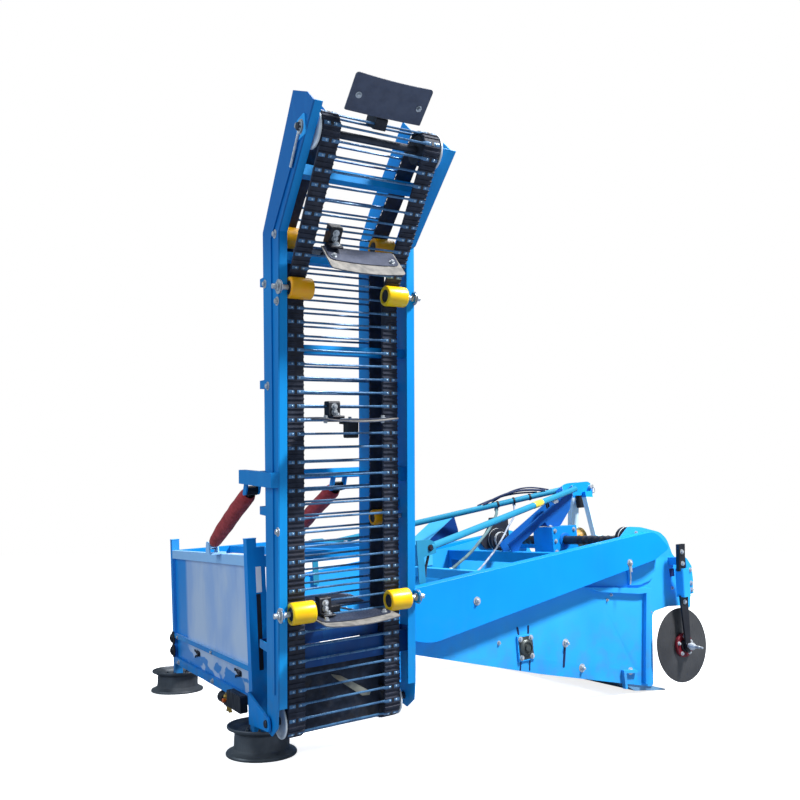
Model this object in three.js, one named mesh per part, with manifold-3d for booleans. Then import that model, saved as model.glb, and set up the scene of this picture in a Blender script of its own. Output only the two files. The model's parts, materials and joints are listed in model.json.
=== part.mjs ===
// Root crop harvester, tractor mounted, stored on its share and on two bare wheel rims with its
// side elevator folded upright. Millimetres, +X forward, +Y left, +Z up.
// The machine stands nose up, so it is drawn level in its own frame (group "machine") and that
// group is pitched; the rims stand level on the floor.
import * as THREE from 'three';
import { mergeVertices } from 'three/addons/utils/BufferGeometryUtils.js';
import Module from 'manifold-3d';

const wasm = await Module();
wasm.setup();
const { Manifold } = wasm;

// ---------- driving dimensions ----------
const PITCH = THREE.MathUtils.degToRad(4.46);   // nose-up stance of the parked machine
const CENTRE_X = 1513;                          // middle of the bounding box from the right rim
const CENTRE_Y = 372.25;
const GAP = 0.3;                                // air between pieces that touch

const TRACK = 1770;                             // rear post to rear post
const MIDDLE = TRACK / 2;
const POST = 50;                                // square tube of the rear frame
const RIM = { radius: 171.5, waist: 134, height: 136, disc: 102, wall: 6 };

const WALL = { y: 95, thick: 6, rear: 800 };    // side plate: outer face and rear end
const GUARD = { y: 0, rear: 866 };              // chain guard: outer face and rear end
const BEAM_LOW = WALL.y + WALL.thick + GAP;     // lateral beams run between the side plates
const BEAM_HIGH = TRACK - BEAM_LOW;

const FOOT = { y: -262, z: 200 };               // lower shaft of the elevator, and its hinge
const LEAN = THREE.MathUtils.degToRad(5.9);     // folded elevator, out of the vertical
const HEAD_LEAN = THREE.MathUtils.degToRad(48); // its bent head, out of the vertical
const CHANNEL = { rear: -47.5, front: 670.7, thick: 5, flange: 43 };
const BEHIND = 40.5;                            // channel's inner edge to the lower shaft
const BELTS = [[13, 97], [515, 599]];           // elevator belts: from x, to x
const BELT = 12;                                // belt thickness
const ROD = 10;                                 // web rod, square across
const ROLLER = 50;                              // radius of the pressing and carrying rollers
const CYLINDER_X = [-17.5, 456];                // the two tilt cylinders
const EYE = { y: -55, z: 1270 };                // barrel pin on the elevator's arm
const BASE = { y: 650, z: 990 };                // rod pin on the frame
const COULTER = { x: 3078, y: 50, z: 55, radius: 250 };

const PAINT = finish(0x1f97f0, 0.42, 0.15);
const PAINT_BRIGHT = finish(0x0aa2ff, 0.36, 0.1);
const PAINT_PALE = finish(0x7ba2dc, 0.5, 0.15);
const RUBBER = finish(0x1b1c20, 0.8, 0);
const BLACK = finish(0x22252b, 0.55, 0.3);
const YELLOW = finish(0xf5a70a, 0.4, 0);
const STEEL = finish(0xb9bec6, 0.35, 0.9);
const MAROON = finish(0x6e1f2c, 0.9, 0);
const DARK = finish(0x3f4248, 0.6, 0.5);

function finish(color, roughness, metalness) {
  return { color, roughness, metalness };
}

// ---------- solids ----------
function solid(geometry) {
  geometry.deleteAttribute('normal');
  geometry.deleteAttribute('uv');
  const welded = mergeVertices(geometry, 1e-4);
  return new Manifold(new wasm.Mesh({
    numProp: 3,
    vertProperties: new Float32Array(welded.attributes.position.array),
    triVerts: new Uint32Array(welded.index.array),
  }));
}

function fuse(...solids) {
  return Manifold.union(solids.flat(2));
}

function block([x0, x1], [y0, y1], [z0, z1]) {
  const box = new THREE.BoxGeometry(x1 - x0, y1 - y0, z1 - z0);
  return solid(box.translate((x0 + x1) / 2, (y0 + y1) / 2, (z0 + z1) / 2));
}

// A block that stays level when the machine is pitched.
function levelBlock(xs, ys, zs) {
  const box = new THREE.BoxGeometry(xs[1] - xs[0], ys[1] - ys[0], zs[1] - zs[0]);
  box.translate((xs[0] + xs[1]) / 2, (ys[0] + ys[1]) / 2, (zs[0] + zs[1]) / 2);
  return solid(box.rotateY(PITCH));
}

function basis(from, to, up) {
  const along = new THREE.Vector3().subVectors(to, from).normalize();
  const side = new THREE.Vector3().crossVectors(up, along).normalize();
  const top = new THREE.Vector3().crossVectors(along, side);
  return new THREE.Matrix4().makeBasis(side, top, along).setPosition(from);
}

// A rectangular bar between two points; "tall" is measured towards up.
function bar(from, to, wide, tall, up = [0, 0, 1]) {
  const [a, b, u] = [from, to, up].map((p) => new THREE.Vector3(...p));
  const length = a.distanceTo(b);
  const box = new THREE.BoxGeometry(wide, tall, length).translate(0, 0, length / 2);
  return solid(box.applyMatrix4(basis(a, b, u)));
}

function round(from, to, radius, sides = 16) {
  const [a, b] = [from, to].map((p) => new THREE.Vector3(...p));
  const length = a.distanceTo(b);
  const drum = new THREE.CylinderGeometry(radius, radius, length, sides);
  drum.rotateX(Math.PI / 2).translate(0, 0, length / 2);
  const up = Math.abs(b.z - a.z) > 0.9 * length ? [1, 0, 0] : [0, 0, 1];
  return solid(drum.applyMatrix4(basis(a, b, new THREE.Vector3(...up))));
}

// Corners are [u, v] or [u, v, radius]; a radius rounds that corner.
function outline(corners) {
  const shape = new THREE.Shape();
  const count = corners.length;
  corners.forEach(([u, v, radius = 0], i) => {
    const here = new THREE.Vector2(u, v);
    const last = new THREE.Vector2(...corners[(i + count - 1) % count].slice(0, 2));
    const next = new THREE.Vector2(...corners[(i + 1) % count].slice(0, 2));
    const start = last.sub(here).setLength(radius).add(here);
    const end = next.sub(here).setLength(radius).add(here);
    if (i === 0) shape.moveTo(start.x, start.y);
    else shape.lineTo(start.x, start.y);
    if (radius > 0) shape.quadraticCurveTo(u, v, end.x, end.y);
  });
  return shape;
}

function asShape(corners) {
  return corners instanceof THREE.Shape ? corners : outline(corners);
}

function extruded(shape, depth) {
  return new THREE.ExtrudeGeometry(shape, { depth, bevelEnabled: false, curveSegments: 4 });
}

// A plate across the machine: corners in (y, z), from x0 to x1.
function crossPlate(corners, [x0, x1]) {
  const geometry = extruded(asShape(corners), x1 - x0);
  const axes = new THREE.Matrix4().makeBasis(
    new THREE.Vector3(0, 1, 0), new THREE.Vector3(0, 0, 1), new THREE.Vector3(1, 0, 0));
  return solid(geometry.applyMatrix4(axes).translate(x0, 0, 0));
}

// A plate along the machine: corners in (x, z), from y0 to y1.
function longPlate(corners, [y0, y1]) {
  const geometry = extruded(asShape(corners), y1 - y0);
  return solid(geometry.rotateX(Math.PI / 2).translate(0, y1, 0));
}

function mirrored(part) {
  return part.mirror([0, 1, 0]).translate([0, TRACK, 0]);
}

// ---------- taut loops ----------
// A belt runs round circles [u, v, r] in order: r > 0 turns it left, r < 0 turns it right.
function loopLegs(circles) {
  return circles.map(([u1, v1, r1], i) => {
    const [u2, v2, r2] = circles[(i + 1) % circles.length];
    const length = Math.hypot(u2 - u1, v2 - v1);
    const heading = Math.atan2(v2 - v1, u2 - u1);
    return heading - Math.acos((r1 - r2) / length);   // direction of the outer side
  });
}

function turn(from, to, radius) {
  const full = 2 * Math.PI;
  const left = (((to - from) % full) + full) % full;
  return radius > 0 ? left : left - full;
}

// The loop moved outwards by "offset", as corners.
function loopCorners(circles, offset, facets = Math.PI / 9) {
  const legs = loopLegs(circles);
  return circles.flatMap(([u, v, r], i) => {
    const start = legs[(i + circles.length - 1) % circles.length];
    const sweep = turn(start, legs[i], r);
    const steps = Math.max(1, Math.ceil(Math.abs(sweep) / facets));
    return Array.from({ length: steps + 1 }, (_, k) => {
      const angle = start + (sweep * k) / steps;
      return [u + (r + offset) * Math.cos(angle), v + (r + offset) * Math.sin(angle)];
    });
  });
}

// Places spaced evenly round the loop: { u, v, angle } with the angle of its outer side. The
// first is "start" spacings past the first circle's entry.
function loopPlaces(circles, count, start = 0) {
  const legs = loopLegs(circles);
  const pieces = circles.flatMap(([u, v, r], i) => {
    const before = legs[(i + circles.length - 1) % circles.length];
    const [u2, v2, r2] = circles[(i + 1) % circles.length];
    const out = legs[i];
    const sweep = turn(before, out, r);
    const from = [u + r * Math.cos(out), v + r * Math.sin(out)];
    const to = [u2 + r2 * Math.cos(out), v2 + r2 * Math.sin(out)];
    return [
      { length: Math.abs(r * sweep), at: (f) => {
        const angle = before + f * sweep;
        return { u: u + r * Math.cos(angle), v: v + r * Math.sin(angle), angle };
      } },
      { length: Math.hypot(to[0] - from[0], to[1] - from[1]), at: (f) => ({
        u: from[0] + f * (to[0] - from[0]), v: from[1] + f * (to[1] - from[1]), angle: out,
      }) },
    ];
  });
  const total = pieces.reduce((sum, piece) => sum + piece.length, 0);
  return Array.from({ length: count }, (_, k) => {
    let left = ((k + start) * total) / count;
    const piece = pieces.find((p) => {
      if (left <= p.length) return true;
      left -= p.length;
      return false;
    });
    return piece.at(left / piece.length);
  });
}

function ring(circles, thickness) {
  const shape = outline(loopCorners(circles, thickness / 2));
  shape.holes.push(outline(loopCorners(circles, -thickness / 2)));
  return shape;
}

// ---------- assembly helpers ----------
const machine = new THREE.Group();
machine.rotation.y = -PITCH;
machine.position.set(-CENTRE_X, -CENTRE_Y, 0);
const floorStand = new THREE.Group();
floorStand.position.set(-CENTRE_X, -CENTRE_Y, 0);

function add(name, part, look, group = machine) {
  const { vertProperties, triVerts } = part.getMesh();
  const geometry = new THREE.BufferGeometry();
  geometry.setAttribute('position', new THREE.BufferAttribute(new Float32Array(vertProperties), 3));
  geometry.setIndex(new THREE.BufferAttribute(new Uint32Array(triVerts), 1));
  geometry.computeVertexNormals();
  const mesh = new THREE.Mesh(geometry, new THREE.MeshStandardMaterial(look));
  mesh.name = name;
  group.add(mesh);
}

function addPair(name, right, look) {
  add(`${name}_right`, right, look);
  add(`${name}_left`, mirrored(right), look);
}

// From floor coordinates to the pitched machine's.
function fromFloor(x, z) {
  const [s, c] = [Math.sin(PITCH), Math.cos(PITCH)];
  return [x * c + z * s, z * c - x * s];
}

// ---------- rim stands: bare wheel rims lying flat ----------
function rim() {
  const { radius, waist, height, disc, wall } = RIM;
  const lip = 12;
  const slope = 26;
  const profile = [
    [0, disc], [waist - wall, disc], [waist - wall, height - slope],
    [radius - wall, height - lip + wall], [radius - wall, height], [radius, height],
    [radius, height - lip], [waist, height - slope - wall], [waist, slope + wall],
    [radius, lip], [radius, 0], [radius - wall, 0], [radius - wall, lip - wall],
    [waist - wall, slope], [waist - wall, disc - wall], [0, disc - wall],
  ].reverse();
  const points = profile.map(([r, z]) => new THREE.Vector2(r, z));
  const geometry = new THREE.LatheGeometry([...points, points[0].clone()], 32);
  return solid(geometry.rotateX(Math.PI / 2));
}
add('rim_stand_right', rim(), DARK, floorStand);
add('rim_stand_left', rim().translate([35, TRACK, 0]), DARK, floorStand);

// ---------- rear frame: posts, rails, and the foot bracket of the elevator ----------
const POSTS = [               // rear posts: x range, y, top z; the first carries the elevator
  [[-42.5, 7.5], 0, 1030], [[7, 50], 0, 985], [[20, 70], TRACK, 1012],
];
const RAIL_X = 20;
const RAILS = [               // rear rails: bottom z, top z, thickness along x
  [178, 222, 30], [352, 377, 19], [885, 940, 30],
];
const BRACKET = { thick: 10, boss: 34, bore: 18.3 };
const SHAFT = 17.5;

function footBracket(x0) {
  const corners = [
    [-POST / 2 + 5, 150, 0], [-POST / 2 + 5, 300, 0],
    [FOOT.y + 10, FOOT.z + BRACKET.boss, 20], [FOOT.y - BRACKET.boss, FOOT.z + BRACKET.boss, 30],
    [FOOT.y - BRACKET.boss, FOOT.z - BRACKET.boss, 30], [FOOT.y + 30, FOOT.z - BRACKET.boss, 20],
  ];
  const x1 = x0 + BRACKET.thick;
  const bore = round([x0 - 1, FOOT.y, FOOT.z], [x1 + 1, FOOT.y, FOOT.z], BRACKET.bore, 20);
  return crossPlate(corners, [x0, x1]).subtract(bore);
}

// Two lug plates for a rod's eye.
function baseLugs(x, z0) {
  const corners = [
    [BASE.y - 40, z0], [BASE.y + 40, z0], [BASE.y + 22, BASE.z + 24, 14],
    [BASE.y - 22, BASE.z + 24, 14],
  ];
  return [-1, 1].map((side) => {
    const inner = x + side * 21;
    return crossPlate(corners, [inner, inner + side * 8].sort((a, b) => a - b));
  });
}

const underPosts = levelBlock([-200, 200], [-200, TRACK + 200], [-100, RIM.disc + GAP]);
add('rear_frame', fuse(
  POSTS.map(([xs, y, top]) => block(xs, [y - POST / 2, y + POST / 2], [40, top])),
  RAILS.map(([low, high, deep]) => block([RAIL_X, RAIL_X + deep], [0, TRACK], [low, high])),
  footBracket(-64).add(block([-64, -40], [-26, -19], [150, 300])),
  block([CYLINDER_X[0] - 29, 50], [BASE.y - 45, BASE.y + 45], [939, 950]),
  baseLugs(CYLINDER_X[0], 945),
).subtract(underPosts), PAINT);

// ---------- right and left frames between the rear posts and the side plates ----------
const CORNER_X = [785, 835];
const SILL_Z = [150, 190];
const sideFrame = (rear) => fuse(
  block([rear + GAP, CORNER_X[1]], [-POST / 2, POST / 2], SILL_Z),
  block([rear + GAP, CORNER_X[1]], [-POST / 2, POST / 2], [885, 940]),
  block(CORNER_X, [-POST / 2, POST / 2], [SILL_Z[0], 940]),
  block(CORNER_X, [0, WALL.y - GAP], [420, 480]),
  block(CORNER_X, [0, WALL.y - GAP], [180, 230]),
);
const FRONT_BRACKET = CHANNEL.front + 14;
add('frame_right', fuse(
  sideFrame(POSTS[1][0][1]),
  footBracket(FRONT_BRACKET),
  block([FRONT_BRACKET, FRONT_BRACKET + 40], [-26, 0], [152, 300]),
), PAINT);
add('frame_left', mirrored(sideFrame(POSTS[2][0][1])), PAINT);
add('rear_cross_beam', block([790, 830], [POST / 2 + GAP, TRACK - POST / 2 - GAP], [888, 937]), PAINT);
add('cylinder_beam', fuse(
  block([431, 481], [POST / 2 + GAP, TRACK - POST / 2 - GAP], [888, 937]),
  baseLugs(CYLINDER_X[1], 930),
), PAINT);

// ---------- rear panel ----------
const PANEL_HOOKS = [437, 1242];
const PANEL_X = [40, 44];
add('rear_panel', block(PANEL_X, [POST / 2 + GAP, TRACK - POST / 2 - GAP], [222 + GAP, 885 - GAP])
  .subtract(fuse(PANEL_HOOKS.map((y) => block([30, 60], [y - 35, y + 35], [302, 324])))), PAINT_PALE);

// ---------- side plates, chain guards ----------
const sidePlate = longPlate([
  [WALL.rear, 348], [1844, 54], [2507, -112], [2790, -182, 6], [2810, -165, 6],
  [2872, 300, 40], [3030, 318, 20], [3174, 306, 10], [3258, 279, 20], [3292, 470, 10], [3290, 592, 20],
  [3140, 655, 30], [3095, 780, 30], [3035, 832, 30], [2851, 880, 20], [2726, 893, 20],
  [2625, 815, 10], [2300, 770], [WALL.rear, 640],
], [WALL.y, WALL.y + WALL.thick]);
const plateOpening = longPlate([
  [3085, 515], [3135, 515], [3135, 570], [3085, 570],
], [WALL.y - 5, WALL.y + WALL.thick + 5]);
// Folded edges, a flap under the guard, a bearing block and the share's bracket.
const proud = (corners, depth) => longPlate(corners, [WALL.y - depth, WALL.y + 1]);
const sideFittings = fuse(
  proud([[2265, 535], [2747, 477], [2860, 463], [2855, 436], [2741, 438], [2377, 492]], 30),
  proud([[2804, 440], [2850, 445], [2771, -70], [2759, -150], [2706, -150], [2718, -70]], 30),
  proud([[2670, 618], [2667, 502], [2770, 494], [2877, 516, 20], [2919, 548, 20], [2930, 638],
    [2850, 646]], 14),
  proud([[1680, 153], [1804, 153], [1804, 304], [1680, 304]], 11),
  proud([[2523, -149], [2545, -149], [2545, -52], [2650, -66], [2650, -48], [2523, -30]], 26),
);
addPair('side_plate', fuse(sidePlate, sideFittings).subtract(plateOpening), PAINT);

const chainGuard = longPlate([
  [GUARD.rear, 674, 8], [2881, 851, 60], [3010, 724, 40], [2850, 657, 20],
  [1010, 365, 70], [GUARD.rear, 410, 20],
], [GUARD.y, WALL.y - GAP]);
addPair('chain_guard', chainGuard, PAINT_BRIGHT);

// ---------- lateral beams ----------
const LOWER_LINK = { x: 3130, z: 390, spread: 400, half: 32, plate: 12 };
function linkPlates(y) {
  const corners = [
    [3050, 705], [3110, 705], [LOWER_LINK.x + 38, LOWER_LINK.z + 20, 20],
    [LOWER_LINK.x + 38, LOWER_LINK.z - 38, 30], [LOWER_LINK.x - 38, LOWER_LINK.z - 38, 30],
  ];
  const { half, plate, x, z } = LOWER_LINK;
  return fuse(
    longPlate(corners, [y - half - plate, y - half]),
    longPlate(corners, [y + half, y + half + plate]),
    round([x, y - half - plate - 12, z], [x, y + half + plate + 12, z], 14, 12),
  );
}
add('front_beam', fuse(
  block([3020, 3100], [BEAM_LOW, BEAM_HIGH], [700, 780]),
  linkPlates(MIDDLE - LOWER_LINK.spread),
  linkPlates(MIDDLE + LOWER_LINK.spread),
), PAINT);
const SHELF_TOP = 688;
const MIDDLE_BEAM = { x: [2262, 2342], top: 747 };
const beamLeg = block(MIDDLE_BEAM.x, [BEAM_LOW, BEAM_LOW + 40], [590, 680]);
add('middle_beam', fuse(
  block(MIDDLE_BEAM.x, [BEAM_LOW, BEAM_HIGH], [672, MIDDLE_BEAM.top]), beamLeg, mirrored(beamLeg),
  block([2341, 3020 - GAP], [MIDDLE - 120, MIDDLE + 120], [SHELF_TOP - 14, SHELF_TOP]),
), PAINT);

// ---------- hitch mast: two legs, top clevis and raking struts ----------
const CLEVIS = { half: 52, plate: 12, pinX: 3100, pinZ: 1188 };
const clevisCorners = [
  [2850, 1130, 10], [2850, 1170, 10], [2960, 1228, 40], [3100, 1232, 30], [3140, 1180, 20],
  [3125, 1120, 10],
];
const mastLeg = bar([3060, MIDDLE - 140, 780 + GAP], [3052, MIDDLE - 72, 1150], 50, 70, [1, 0, 0]);
const strut = bar([2262, MIDDLE - CLEVIS.half, 778], [2930, MIDDLE - CLEVIS.half, 1160], 12, 64);
const inStrut = [MIDDLE - CLEVIS.half - 6, MIDDLE - CLEVIS.half + 6];
const clevisPlate = longPlate(clevisCorners, [
  MIDDLE - CLEVIS.half - CLEVIS.plate, MIDDLE - CLEVIS.half]);
const strutFoot = longPlate([
  [2266, MIDDLE_BEAM.top + GAP], [2338, MIDDLE_BEAM.top + GAP], [2400, 845], [2300, 815]], inStrut);
const strutGusset = longPlate([
  [2600, 960], [2645, 906, 10], [2765, 903, 20], [2882, 1028, 20], [2912, 1150], [2860, 1110]], inStrut);
const strap = longPlate([[3052, 1185], [3128, 1185], [3126, 1026, 10], [3056, 1026, 10]],
  [MIDDLE - CLEVIS.half - 1, MIDDLE - CLEVIS.half + 9]);
const mastHalf = fuse(mastLeg, strut, clevisPlate, strutFoot, strutGusset, strap);
add('hitch_mast', fuse(
  mastHalf, mirrored(mastHalf),
  round([CLEVIS.pinX, MIDDLE - 90, CLEVIS.pinZ], [CLEVIS.pinX, MIDDLE + 90, CLEVIS.pinZ], 13, 12),
  block([2870, 2890], [MIDDLE - 60, MIDDLE + 60], [1136, 1166]),
).subtract(block([3000, 3130], [BEAM_LOW, BEAM_HIGH], [690, 780 + GAP])), PAINT);

// ---------- long brace tubes from the mast to the side plates ----------
const braceTop = [2925, MIDDLE - 64.5 - 24, 1178];
const braceFoot = [1130, 128, 890];
const brace = fuse(
  round(braceTop, braceFoot, 22.5, 12),
  longPlate([[1030, 600], [1075, 600], [1075, 838, 10], [1160, 852], [1160, 915, 20], [1120, 935],
    [1030, 935]], [115, 125]),
  block([1030, 1075], [101 + GAP, 125], [600, 634]),
);

// ---------- hydraulic hoses: they hang between fittings on the braces and the frame ----------
const REAR_BEAM = { x: [1545, 1605], z: [638, 700] };
const HOSES = [               // radius, side of its brace, route
  [11, 'left', [[2415, 1163, 1056], [2346, 1080, 1018], [2218, 1000, 928], [2045, 900, 845],
    [1878, 800, 775], [1732, 720, 728], [1622, 669, 690]]],
  [7, 'left', [[2555, 1112, 1084], [2456, 1000, 1000], [2312, 900, 927], [2182, 800, 864],
    [2019, 680, 793], [1857, 560, 742], [1735, 465, 708], [1622, 380, 684]]],
  [7, 'right', [[2592, 682, 1092], [2622, 770, 1102], [2662, 848, 1094], [2692, 880, 1060],
    [2710, 885, 1010], [2712, 886, 965], [2719, 886, 918]]],
  [7, 'right', [[2622, 693, 1097], [2652, 776, 1107], [2690, 856, 1097], [2722, 892, 1060],
    [2740, 900, 1010], [2744, 902, 965], [2752, 903, 918]]],
];
function ferrule(end, next, radius) {
  const [e, n] = [new THREE.Vector3(...end), new THREE.Vector3(...next)];
  const away = e.clone().sub(n).normalize();
  const at = (distance) => e.clone().addScaledVector(away, distance).toArray();
  return { body: round(at(GAP), at(28), radius + 4), middle: at(15) };
}
const firstFerrules = HOSES.map(([radius, side, route]) => {
  const { body, middle } = ferrule(route[0], route[1], radius);
  const along = (middle[0] - braceFoot[0]) / (braceTop[0] - braceFoot[0]);
  const axis = braceFoot.map((v, i) => v + along * (braceTop[i] - v));
  if (side === 'left') axis[1] = TRACK - axis[1];
  return fuse(body, round(middle, axis, 6, 8));
});
const lastFerrules = HOSES.map(([radius, , route]) => (
  ferrule(route[route.length - 1], route[route.length - 2], radius).body));
HOSES.forEach(([radius, , route], i) => {
  const curve = new THREE.CatmullRomCurve3(route.map((p) => new THREE.Vector3(...p)));
  const section = new THREE.Shape().absarc(0, 0, radius, 0, 2 * Math.PI);
  const options = { steps: i < 2 ? 40 : 16, bevelEnabled: false, extrudePath: curve, curveSegments: 5 };
  add(`hydraulic_hose_${i + 1}`, solid(new THREE.ExtrudeGeometry(section, options)), RUBBER);
});

add('brace_right', fuse(brace, firstFerrules.slice(2)), PAINT_BRIGHT);
add('brace_left', fuse(mirrored(brace), firstFerrules.slice(0, 2)), PAINT_BRIGHT);
add('rear_beam', fuse(
  block(REAR_BEAM.x, [BEAM_LOW, BEAM_HIGH], REAR_BEAM.z), lastFerrules.slice(0, 2),
), PAINT);

// ---------- gearbox and the guarded cross shaft ----------
const GEARBOX = { x: [2630, 2880], half: 110, z: [SHELF_TOP + GAP, 900], axleX: 2755, axleZ: 795 };
add('gearbox', fuse(
  block(GEARBOX.x, [MIDDLE - GEARBOX.half, MIDDLE + GEARBOX.half], GEARBOX.z),
  round([2870, MIDDLE, GEARBOX.axleZ], [2905, MIDDLE, GEARBOX.axleZ], 55),
  round([2900, MIDDLE, GEARBOX.axleZ], [2990, MIDDLE, GEARBOX.axleZ], 18),
  lastFerrules.slice(2),
), PAINT);
const onShaft = (y0, y1, radius) => round(
  [GEARBOX.axleX, y0, GEARBOX.axleZ], [GEARBOX.axleX, y1, GEARBOX.axleZ], radius, 20);
const shaftGuard = fuse(
  onShaft(BEAM_LOW, MIDDLE - GEARBOX.half - GAP, 32),
  onShaft(BEAM_LOW + 28, BEAM_LOW + 72, 95), onShaft(BEAM_LOW + 71, BEAM_LOW + 105, 62),
);
const cover = longPlate([
  [2580, 790, 20], [2625, 725, 20], [2885, 725], [2893, 985], [2690, 985], [2671, 908],
], [BEAM_HIGH - 29, BEAM_HIGH - 21]);
add('cross_shaft_tube_right', shaftGuard, BLACK);
add('cross_shaft_tube_left', mirrored(shaftGuard).add(cover), BLACK);

// ---------- hopper plate beside the left brace: a sloping sheet between two webs ----------
const HOPPER = { near: 1386, low: [1861, 826], high: [2161, 1026] };
const [hopperLow, hopperHigh] = [HOPPER.low, HOPPER.high];
add('hopper_plate', fuse(
  longPlate([hopperLow, hopperHigh, [2166, 1019], [1866, 819]], [HOPPER.near, BEAM_HIGH]),
  longPlate([hopperLow, hopperHigh, [2189, 917], [2180, 850, 20], [1910, 818, 20]],
    [HOPPER.near, HOPPER.near + 8]),
  longPlate([[1920, 640], [2100, 640], [2110, 990], [1900, 850]], [BEAM_HIGH - 8, BEAM_HIGH]),
), PAINT);

// ---------- share: a blade on the floor under its support arms ----------
const tip = fromFloor(2935, 0);
const heel = [2640, -185];
add('share', longPlate([
  tip, [tip[0] - 6, tip[1] + 9], [2700, heel[1] + 34], [2500, -80], [2490, -92], heel,
], [BEAM_LOW + 2, BEAM_HIGH - 2]), STEEL);

// ---------- webs ----------
const WEB_DRUM = 50;
// Belts in a loop, and rods across them at the places in "rods".
function longWeb(circles, belts, rods, sideways) {
  const shape = () => ring(circles, BELT);
  const [first, last] = [belts[0], belts[belts.length - 1]];
  const ends = [(first[0] + first[1]) / 2, (last[0] + last[1]) / 2];
  const extrude = sideways ? longPlate : crossPlate;
  const at = (u, v, w) => (sideways ? [u, w, v] : [w, u, v]);
  const bars = rods.map(({ u, v, angle }) => {
    const up = at(Math.cos(angle), Math.sin(angle), 0);
    return bar(at(u, v, ends[0]), at(u, v, ends[1]), ROD, ROD, up);
  });
  return fuse(belts.map((belt) => extrude(shape(), belt)), bars);
}
function drums(circles, belts, sideways, shaft, [low, high]) {
  const at = (u, v, w) => (sideways ? [u, w, v] : [w, u, v]);
  return circles.flatMap(([u, v, r]) => [
    round(at(u, v, low), at(u, v, high), shaft, 12),
    ...belts.map(([w0, w1]) => round(at(u, v, w0), at(u, v, w1), r - BELT / 2 + 1.5, 18)),
  ]);
}
const DIG_LOOP = [[2600, -40, WEB_DRUM], [905, 452, WEB_DRUM]];
const DIG_BELTS = [[150, 210], [1560, 1620]];
const digCircles = DIG_LOOP.map(([x, z, r]) => [x, z, r]).reverse();
add('digging_web', fuse(
  longWeb(digCircles, DIG_BELTS, loopPlaces(digCircles, 76), true),
  drums(digCircles, DIG_BELTS, true, 22, [BEAM_LOW, BEAM_HIGH]),
), DARK);
const CROSS_LOOP = [[1640, 330, 42], [150, 300, 42]];
const CROSS_BELTS = [[75, 135], [560, 620]];
const crossCircles = CROSS_LOOP.map(([y, z, r]) => [y, z, r]).reverse();
add('cross_web', fuse(
  longWeb(crossCircles, CROSS_BELTS, loopPlaces(crossCircles, 62), false),
  drums(crossCircles, CROSS_BELTS, false, 18, [58, 660]),
), DARK);

// ---------- disc coulters ----------
const { x: DISC_X, y: DISC_Y, z: DISC_Z, radius: DISC_R } = COULTER;
const axle = round([DISC_X, -140, DISC_Z], [DISC_X, 86, DISC_Z], 10, 12);
const coulterArm = fuse(
  bar([3093, 0, 385], [3108, 0, 575], 70, 70, [1, 0, 0]),
  bar([3092, 0, 560], [3118, 0, 742], 34, 62, [1, 0, 0]),
  longPlate([[3052, 395], [3056, 10, 14], [3098, 10, 14], [3128, 395]], [-7, 7]),
  block([3085, 3135], [-10, WALL.y - GAP], [600, 650]),
  round([DISC_X, -78, DISC_Z], [DISC_X, -6, DISC_Z], 26, 12),
  axle,
);
const coulterDisc = fuse(
  round([DISC_X, DISC_Y - 3, DISC_Z], [DISC_X, DISC_Y + 3, DISC_Z], DISC_R, 40),
  round([DISC_X, 13, DISC_Z], [DISC_X, 80, DISC_Z], 40, 20),
  round([DISC_X, 26, DISC_Z], [DISC_X, DISC_Y, DISC_Z], 80, 24),
).subtract(round([DISC_X, 0, DISC_Z], [DISC_X, 100, DISC_Z], 10.6, 12));
addPair('coulter_arm', coulterArm, BLACK);
addPair('coulter_disc', coulterDisc, DARK);

// ---------- hydraulic motor of the cross web ----------
add('hydraulic_motor', fuse(
  block([12, 52], [560, 640], [110, RAILS[0][0] - GAP]),
  round([32, 640, 140], [32, 720, 140], 32, 14),
), BLACK);

// ---------- elevator ----------
const [LS, LC] = [Math.sin(LEAN), Math.cos(LEAN)];
const [HS, HC] = [Math.sin(HEAD_LEAN), Math.cos(HEAD_LEAN)];
// Lower section: "up" along it from the shaft, "out" from its inner edge.
function low(up, out) {
  const n = out - BEHIND;
  return [FOOT.y - up * LS - n * LC, FOOT.z + up * LC - n * LS];
}
// Head: along it from the front fold's kink, "out" from that fold.
const FOLD = [-654, 2414];
function head(along, out) {
  return [FOLD[0] - along * HS - out * HC, FOLD[1] + along * HC - out * HS];
}
const INNER_KINK = [-457, 2472];
const HEAD_END = { rear: 605, front: 515 };
const HEAD_DEPTH = 120;
const FOLD_LOW = [90, 152];      // foot of the front fold: up, out

const shaftHole = (x0, x1, [y, z], radius) => round([x0, y, z], [x1, y, z], radius, 20);
const TOP = [-973, 2760];
// Pressing rollers run outside the belts on stub bolts, held by ears on the channels.
const KINK_PRESS = [-623, 2162];
const PRESS_LOW = [-461, 697];
const PRESS_UP = { low: 515, kink: 1989 };
const EAR = { thick: 9, half: 24, foot: 34, reach: 216, root: 140 };
const ear = (up, span) => crossPlate([
  low(up - EAR.foot, EAR.root), low(up - EAR.half, EAR.reach, 14),
  low(up + EAR.half, EAR.reach, 14), low(up + EAR.foot, EAR.root),
], span);
const LOWER_OUTLINE = [low(-45, 15), low(-50, 70), low(5, 140), low(...FOLD_LOW), FOLD];

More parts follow.
